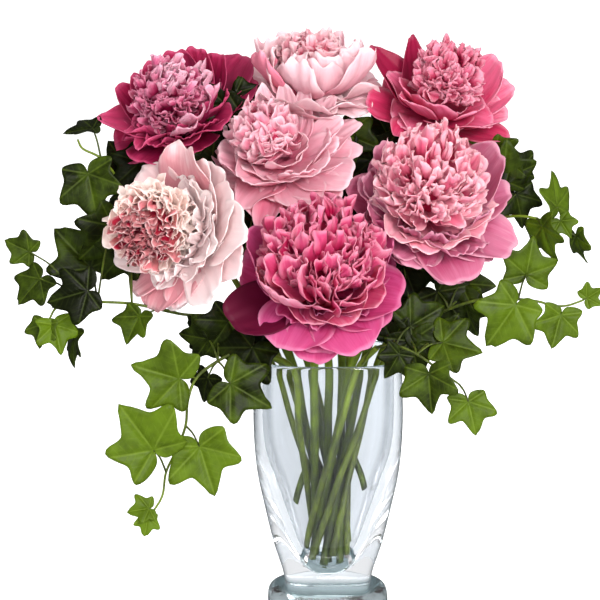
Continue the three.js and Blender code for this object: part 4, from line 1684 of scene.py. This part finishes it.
def pale_pink_bloom() -> Bloom:
    """Top: a half open pale pink cup over flat frilled guards.

    Returns:
        The bloom.
    """
    return Bloom(
        2, "petal_pale_pink",
        PetalFinish("pale_pink_guards", (214, 98, 128), (234, 170, 186), (244, 212, 218), (252, 236, 238)),
        PetalFinish("pale_pink_heart", (204, 80, 108), (226, 152, 170), (240, 206, 210), (248, 232, 232),
                    depth=0.1),
        lobes((-28, -36, 50, 84, 116, 26, 1.4, 0, 1.6), (-4, -40, 50, 86, 122, 26, 1.5, 0, 1.6),
              (22, -38, 50, 84, 118, 26, 1.4, 0, 1.6), (40, -44, 42, 76, 122, 24, 1),
              (-57, 2, 34, 72, 84, 26, -0.7), (47, -8, 40, 66, 76, 26, 0.5),
              (-26, -24, 46, 74, 92, 30, 1.4, 0, 1.9, 8), (2, -28, 48, 76, 96, 30, 1.5, 0, 1.9, 8),
              (30, -26, 46, 74, 94, 30, 1.4, 0, 1.9, 8), (-30, 14, 40, 40, -16, 54, -0.9, 0, 2.2, 14),
              (-12, 20, 40, 46, -14, 54, 0.4, 0, 2.4, 15), (9, 18, 38, 46, -12, 50, 0.8, 0, 2.4, 15),
              (27, 17, 44, 42, -12, 46, 1.4, 0, 2, 14), (46, 8, 40, 46, 4, 46, 0.6, 0, 2, 13),
              (-42, 8, 36, 44, 0, 46, -0.8, 0, 2, 13)),
        [],
        [Ring(7, PetalForm(50, 42, (88, 78, 76), 20, peak=0.62), 12, tone=0.5),
         Ring(9, PetalForm(54, 36, (84, 70, 72), 30, peak=0.6, ruffle=2.6, waves=1.6), 30, root=8, height=5,
              tone=1.0, scatter=10, hang=16),
         Ring(8, PetalForm(60, 38, (84, 36, -8), 44, peak=0.62, notch=0.1, ruffle=3.2, waves=1.6,
              ragged=0.04, crease=0.5), 22, root=8, height=14, twist=20, hang=0, tone=0.7, scatter=14),
         Ring(9, PetalForm(56, 32, (78, 26, -20), 48, peak=0.62, notch=0.1, ruffle=3.2, waves=1.8,
              ragged=0.04, crease=0.5), 4, root=8, height=15, twist=24, hang=0, tone=1.0, scatter=12)],
        [Crowd(count=70, size=0.76, shift=(0, 0, 3), width=(12, 20), tone=(0.3, 0.6))])


def light_pink_bloom() -> Bloom:
    """Middle: a small ball far to the left on wide soft light pink guards.

    Returns:
        The bloom.
    """
    return Bloom(
        3, "petal_light_pink",
        PetalFinish("light_pink_guards", (198, 58, 104), (226, 128, 156), (241, 182, 198), (252, 228, 234)),
        PetalFinish("light_pink_heart", (194, 44, 88), (222, 114, 146), (238, 178, 194), (250, 226, 230),
                    depth=0.08),
        lobes((67, 10, 36, 70, 80, 34, 1.2, 0.3), (68, -14, 40, 74, 88, 30, 1.1, 0.15, 1.4),
              (60, -38, 42, 70, 80, 30, 1.2, 0, 1.5), (46, -54, 38, 76, 94, 30, 0.9, 0, 1.5),
              (28, -60, 42, 72, 84, 30, 1.1, 0, 1.5), (8, -54, 40, 76, 94, 30, 0.8, 0, 1.5),
              (-9, -78, 26, 84, 104, 50, 0.3), (-26, -58, 40, 72, 90, 30, 0.8, 0.15, 1.4),
              (-42, -36, 40, 74, 90, 28, 1.1, 0, 1.5), (-48, -14, 38, 62, 66, 34, 1.3, 0, 1.5),
              (-40, 12, 34, 50, 40, 40, 1.2, 0, 1, 6), (46, 32, 38, 58, 56, 34, 1.1, 0.15),
              (52, 12, 34, 56, 54, 36, 1.3, 0.15, 1, 7), (50, -8, 36, 62, 72, 36, 1.2, 0.1, 1, 8),
              (38, -28, 40, 56, 56, 36, 1.3, 0, 1.4, 9), (16, -36, 40, 62, 74, 36, 1.1, 0, 1.4, 9),
              (-6, -34, 38, 58, 62, 36, 1, 0, 1.4, 9), (-30, -24, 36, 56, 54, 36, 1.2, 0, 1.4, 9),
              (2, 14, 36, 10, -44, 56, 1, 0, 1, 16), (-12, 40, 26, 40, 10, 44, 1.3, 0.2, 1, 8),
              (7, 43, 26, 42, 14, 44, 1.4, 0.2, 1, 8), (24, 38, 28, 46, 24, 44, 1.3, 0.2, 1, 8)),
        lobes((24, -4, 32, 44, 20, 50, 1.2, 0, 1.4, 13), (6, -16, 36, 50, 24, 54, 1.4, 0, 1.2, 14),
              (-16, -12, 32, 46, 20, 54, 1.1, 0, 1.4, 13)),
        [Ring(7, PetalForm(56, 44, (88, 74, 70), 26, peak=0.64, ruffle=2.0), 12, tone=0.8),
         Ring(5, PetalForm(46, 40, (84, 52, 36), 38, peak=0.6, ruffle=2.2, waves=1.3, crease=0.8), 34,
              root=8, height=7, tone=1.0, scatter=24, hang=6)],
        [Crowd(count=90, size=0.7, shift=(-8, 0, 3), width=(10, 24), length=(0.7, 1.0), curl=(40, 62),
               ruffle=2.2, tone=(0.6, 0.9), aim=(-0.4, 0.4), cells=(12, 6))])


def mid_pink_bloom() -> Bloom:
    """Upper right: a small round ball with long leaf-like guards in front of it.

    Returns:
        The bloom.
    """
    return Bloom(
        4, "petal_mid_pink",
        PetalFinish("mid_pink_guards", (140, 12, 56), (204, 50, 98), (228, 110, 148), (238, 180, 200),
                    through=0.34, pull=0.9),
        PetalFinish("mid_pink_heart", (164, 18, 62), (204, 66, 108), (228, 128, 160), (246, 200, 212),
                    depth=0.08),
        lobes((-59, 31, 44, 58, 66, 40, -0.5, 0.35), (-26, 40, 32, 42, 20, 36, -0.7, 0.3),
              (-47, 10, 40, 66, 70, 34, 0.5, 0.3, 1, 8), (-40, -34, 50, 80, 100, 28, 0.7, 0.15, 1, 5),
              (-40, 0, 36, 50, 48, 44, 0.5, 0.35, 1, 12), (-36, -16, 38, 52, 50, 46, 0.7, 0.3, 1, 11),
              (-16, -18, 44, 46, 34, 50, 0.6, 0.25, 1, 12), (10, -20, 44, 46, 34, 50, 0.6, 0.2, 1, 11),
              (30, -18, 44, 50, 44, 44, 0.7, 0.2, 1, 11), (36, -34, 46, 70, 92, 30, 0.6, 0.15, 1, 8),
              (6, -38, 46, 72, 96, 30, 0.5, 0.15, 1, 8), (-22, -44, 50, 80, 92, 30, 0.8, 0, 1, 4),
              (54, 2, 46, 58, 54, 30, 0.8), (50, -22, 44, 64, 68, 30, 0.9), (44, 22, 40, 44, 20, 34, 0.7)),
        [],
        rings(52, 0.3),
        [Crowd(count=170, size=0.8, shift=(1, 1, 5), width=(7, 13), length=(0.5, 0.65), roll=(60, 60),
               spin=(90, 70), tone=(0.6, 0.55), ruffle=1.9, aim=(0.25, 0.35), cells=(12, 5))])


def rose_pink_bloom() -> Bloom:
    """Right: a big pale frilled ball on rose pink guards.

    Returns:
        The bloom.
    """
    return Bloom(
        5, "petal_rose_pink",
        PetalFinish("rose_pink_guards", (156, 34, 82), (186, 74, 116), (210, 124, 156), (240, 194, 210)),
        PetalFinish("rose_pink_heart", (180, 20, 66), (216, 88, 126), (238, 158, 180), (252, 222, 226),
                    depth=0.06, pull=0.9),
        lobes((19, -77, 54, 80, 96, 22, 0.4), (61, -51, 50, 76, 88, 24, 0.8), (50, 26, 50, 36, 6, 40, 0.8),
              (60, -4, 46, 62, 56, 30, 0.6, 0, 1.6), (-20, -66, 44, 78, 92, 24, 0.5, 0, 1.8),
              (-39, -56, 40, 76, 88, 24, 0.5, 0, 1.8), (-22, -40, 24, 60, 40, 70, 1, 0.5),
              (-60, 0, 44, 66, 66, 30, 0.5, 0, 1.6), (-44, 32, 38, 50, 40, 36, 0.6)),
        lobes((-34, -44, 38, 64, 66, 36, 1, 0, 1.8, 9), (-12, -54, 40, 66, 74, 36, 0.8, 0, 1.8, 8),
              (14, -50, 40, 64, 68, 36, 1, 0, 1.8, 9), (36, -40, 40, 64, 66, 36, 0.8, 0, 1.8, 9),
              (48, -20, 38, 58, 54, 36, 1, 0, 1.8, 9)),
        rings(58, 0.4, 54, 1.2),
        [Crowd(count=190, size=0.96, shift=(-4, 3, 2), width=(9, 20), length=(0.5, 0.8), roll=(56, 44),
               crease=1.0, ruffle=2.4, spin=(90, 50), tone=(0.65, 0.85), aim=(0.1, 0.5), cells=(12, 6))])


def hot_pink_bloom() -> Bloom:
    """Front: a big hot pink ball over broad smooth guards; the lower left one is dark as painted shade.

    Returns:
        The bloom.
    """
    return Bloom(
        6, "petal_hot_pink",
        PetalFinish("hot_pink_guards", (80, 4, 36), (184, 42, 104), (214, 90, 148), (238, 164, 198)),
        PetalFinish("hot_pink_heart", (140, 2, 50), (188, 26, 84), (220, 84, 134), (248, 186, 206),
                    depth=0.06, pull=0.9),
        # Painted shade: the first lobe's tone of -1.4 and the guards' very dark deep colour make the lower
        # left guard dark.
        lobes((-70, -50, 50, 76, 80, 24, -1.4), (-28, -70, 60, 78, 92, 24, 0.7),
              (32, -72, 58, 78, 92, 24, 0.65), (-4, -81, 46, 88, 100, 22, 0.3, 0, 1, 0),
              (64, -32, 54, 72, 80, 26, 0.35), (-56, 16, 46, 44, 10, 46, 0.6),
              (56, 20, 46, 50, 30, 40, 0.5)),
        lobes((-46, -16, 40, 40, 4, 56, 1.1, 0, 1, 10), (-32, -28, 34, 40, 8, 60, 1.2, 0, 1, 13),
              (-12, -34, 36, 44, 14, 56, 0.9, 0, 1.8, 14), (10, -38, 38, 46, 18, 50, 0.8, 0, 1.8, 14),
              (30, -30, 38, 44, 12, 56, 0.9, 0, 1.8, 14), (44, -14, 36, 40, 8, 56, 0.8, 0, 1.8, 12),
              (-8, -50, 46, 64, 58, 40, 0.8, 0, 1, 7), (22, -50, 46, 64, 58, 40, 0.9, 0, 1, 7),
              (46, -34, 44, 58, 44, 44, 0.8, 0, 1, 8)),
        rings(58, 0.25, 46),
        [Crowd(count=150, size=1.1, reach=95, width=(9, 28), length=(0.42, 0.9), roll=(60, 40), crease=1.0,
               spin=(90, 40), tone=(0.6, 0.75), aim=(0, 0.6), cells=(12, 6))])


def blush_white_bloom() -> Bloom:
    """Left: a white fluffy ball with a red crown on broad blush guards.

    Returns:
        The bloom.
    """
    return Bloom(
        7, "petal_blush_white",
        PetalFinish("blush_guards", (216, 140, 150), (242, 206, 208), (248, 230, 230), (253, 246, 244)),
        PetalFinish("blush_heart", (150, 0, 40), (214, 72, 100), (252, 234, 228), (255, 250, 246), pull=1.0,
                    depth=-0.12, through=0.55, pale_edge_and_highlight=0.5, rim_width=1.8),
        lobes((23, 64, 62, 56, 60, 26, -0.4, 0, 2), (-13, 46, 50, 60, 56, 26, 0, 0, 1.6),
              (45, 44, 58, 62, 64, 24, 0.7, 0, 1.6), (64, 16, 52, 68, 74, 24, 1, 0, 1.6),
              (73, -7, 52, 72, 80, 22, 1.1, 0, 1.8), (71, -33, 40, 80, 88, 22, 0.6, 0, 1.6),
              # Painted shade: the low tones of the lobes at (24, -62), (-1, -66) and (-20, -50) darken the
              # lowest guards, under the bloom.
              (50, -55, 48, 76, 86, 22, 0.9, 0, 1.8), (24, -62, 46, 76, 90, 22, -0.5, 0, 1.6),
              (-1, -66, 54, 78, 92, 22, -0.8), (-20, -50, 42, 72, 84, 24, -0.6),
              (-39, 10, 28, 56, 50, 40, 0.6, 0.4), (-34, -24, 36, 52, 40, 34, 0.8),
              (34, 34, 44, 60, 62, 34, 1.3, 0, 2.2, 6), (48, 12, 44, 62, 66, 34, 1.5, 0, 2.2, 6),
              (50, -14, 44, 64, 68, 34, 1.5, 0, 2.4, 6), (38, -36, 42, 64, 66, 34, 1.2, 0, 2.2, 6)),
        [],
        rings(54, 0.8, 42),
        [Crowd(count=150, size=0.9, width=(7, 30), length=(0.45, 0.95), tone=(-1.8, 3.2), curl=(40, 58),
               ruffle=1.9, waves=1.6, roll=(60, 50), spin=(90, 50), aim=(0.8, -0.76), cells=(12, 6)),
         Crowd(count=44, size=0.93, reach=34, length=(0.5, 0.6), width=(8, 12), roll=(60, 60),
               curl=(20, 40), spin=(90, 90), tone=(-1.3, -1.1), aim=(0.8, -0.76), cells=(8, 5), lined=False)])


def blooms() -> list[Bloom]:
    """The seven blooms, each with its own colours, guard petals and fullness."""
    return [magenta_bloom(), pale_pink_bloom(), light_pink_bloom(), mid_pink_bloom(),
            rose_pink_bloom(), hot_pink_bloom(), blush_white_bloom()]


# ---------------------------------------------------------------- the studio
@dataclass
class Studio:
    """A plain pale floor, three soft lights under a pale dome, and the camera.

    Places are in metres, `look_down` in degrees, and `lens` and the width of the `sensor` in
    millimetres. The lights look at `aim`. `dome` has the stops of the dome's colour from just below
    the horizon up, by (1 + height) / 2.
    """

    camera_place: Point = (-0.022, -1.80108, 0.56907)
    look_down: float = 10.2
    lens: float = 140.7
    sensor: float = 36.0
    aim: Point = (0.0, 0.0, 0.3)
    bounces: int = 32
    bounce: Colour = (0.72, 0.75, 0.77)
    dome: tuple[tuple[float, Colour], ...] = (
        (0.47, (0.46, 0.46, 0.47)), (0.54, (0.5, 0.51, 0.53)), (0.95, (1.0, 1.0, 1.0)))

    def camera(self) -> None:
        """Sets the camera that looks along +Y and down."""
        data = bpy.data.cameras.new("camera")
        data.lens = self.lens
        data.sensor_width = self.sensor
        camera = bpy.data.objects.new("camera", data)
        camera.location = self.camera_place
        camera.rotation_euler = (math.radians(90 - self.look_down), 0.0, 0.0)
        bpy.context.scene.collection.objects.link(camera)
        bpy.context.scene.camera = camera

    def slab(self, name: str, top: float, material: bpy.types.Material) -> bpy.types.Object:
        """A wide thin slab.

        Args:
            name: its name.
            top: the height of its top in metres.
            material: its finish.

        Returns:
            The slab.
        """
        half, depth = 40.0, 0.02
        corners = [(x, y, top + z) for z in (-depth, 0.0)
                   for x, y in ((-half, -half), (half, -half), (half, half), (-half, half))]
        faces = [(3, 2, 1, 0), (4, 5, 6, 7), (0, 1, 5, 4), (1, 2, 6, 5), (2, 3, 7, 6), (3, 0, 4, 7)]
        mesh = bpy.data.meshes.new(name)
        mesh.from_pydata(corners, [], faces)
        mesh.materials.append(material)
        slab = bpy.data.objects.new(name, mesh)
        bpy.context.scene.collection.objects.link(slab)
        return slab

    def floor(self) -> None:
        """A white floor that only the camera sees, and a greyer one under it for light and glass."""
        white = Recipe.new("white_floor").surface(
            Base_Color=(0.85, 0.85, 0.85, 1.0), Roughness=0.9, Specular_IOR_Level=0.0,
            Emission_Color=(1.0, 1.0, 1.0, 1.0), Emission_Strength=0.55)
        seen = self.slab("floor", 0.0, white)
        for ray in ("diffuse", "glossy", "transmission", "shadow"):
            setattr(seen, f"visible_{ray}", False)
        grey = Recipe.new("pale_floor").surface(Base_Color=(*self.bounce, 1.0), Roughness=0.9,
                                                Specular_IOR_Level=0.0)
        below = self.slab("floor_bounce", -0.0005, grey)
        below.visible_camera = False
        below.visible_glossy = False

    def softbox(self, name: str, place: Point, size: float, watts: float, colour: Colour) -> None:
        """Adds one square area light that looks at the blooms.

        Args:
            name: its name; only the one called key shows in glossy surfaces.
            place: its middle in metres.
            size: its side in metres.
            watts: its power.
            colour: its linear colour.
        """
        data = bpy.data.lights.new(name, "AREA")
        data.shape = "SQUARE"
        data.size = size
        data.energy = watts
        data.color = colour
        light = bpy.data.objects.new(name, data)
        light.location = place
        light.rotation_mode = "QUATERNION"
        light.rotation_quaternion = (Vector(self.aim) - Vector(place)).to_track_quat("-Z", "Y")
        light.visible_glossy = name == "key"
        bpy.context.scene.collection.objects.link(light)

    def world(self) -> None:
        """White to the camera and through glass; elsewhere a pale dome, brighter above, dimmer in gloss."""
        world = bpy.data.worlds.new("studio")
        bpy.context.scene.world = world
        r = Recipe(world)
        way = r.node("ShaderNodeTexCoord").outputs["Generated"]
        height = Number(r, r.node("ShaderNodeSeparateXYZ", None, {0: way}).outputs["Z"])
        sky = r.ramp(height * 0.5 + 0.5, self.dome)
        rays = r.node("ShaderNodeLightPath").outputs
        glossy, camera, glass = (Number(r, rays[f"Is {kind} Ray"])
                                 for kind in ("Glossy", "Camera", "Transmission"))
        dome = r.node("ShaderNodeBackground", None, {"Color": sky, "Strength": 1.0 - glossy * 0.75})
        seen = r.node("ShaderNodeBackground", None, {"Color": (1.0, 1.0, 1.0, 1.0)})
        either = camera.math("MAXIMUM", glass)
        mix = r.node("ShaderNodeMixShader", None, {0: either, 1: dome.outputs[0], 2: seen.outputs[0]})
        r.node("ShaderNodeOutputWorld", None, {0: mix.outputs[0]})

    def build(self) -> None:
        """Sets up everything round the object."""
        self.camera()
        self.floor()
        self.world()
        self.softbox("key", place=(0.9, -2.1, 1.2), size=0.9, watts=66.0, colour=(1.0, 0.985, 0.97))
        self.softbox("fill", place=(-0.5, -2.3, 0.3), size=1.6, watts=42.0, colour=(0.99, 0.995, 1.0))
        self.softbox("back", place=(0.5, 2.0, 1.7), size=1.4, watts=28.0, colour=(1.0, 1.0, 1.0))
        cycles = bpy.context.scene.cycles
        cycles.max_bounces = cycles.glossy_bounces = cycles.transmission_bounces = self.bounces
        view = bpy.context.scene.view_settings
        view.view_transform = "Standard"
        view.look = "None"


def main() -> None:
    """Builds the studio, the vase, the blooms with their stems and the ivy."""
    logging.basicConfig(level=logging.INFO, format="%(name)s %(message)s", force=True)
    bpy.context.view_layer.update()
    Studio().build()
    Vase().build()
    stem = StemFinish("green_stem", (14, 24, 0), (84, 104, 0), 0.6)
    all_blooms = blooms()
    for bloom, rim_angle in zip(all_blooms, RIM_ANGLES):
        bloom.build(all_blooms)
        FlowerStem(bloom, rim_angle, stem).build()
    CutStubs().build(stem)
    runner = StemFinish("ivy_runner", (40, 48, 6), (98, 116, 18), 0.5).material()
    leaf = LeafFinish("ivy_leaf", (11, 16, 1), (80, 102, 12), (112, 132, 44), (60, 72, 20)).material()
    for spray in sprays():
        spray.build(runner, leaf)
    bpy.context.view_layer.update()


if __name__ == "__main__":
    main()
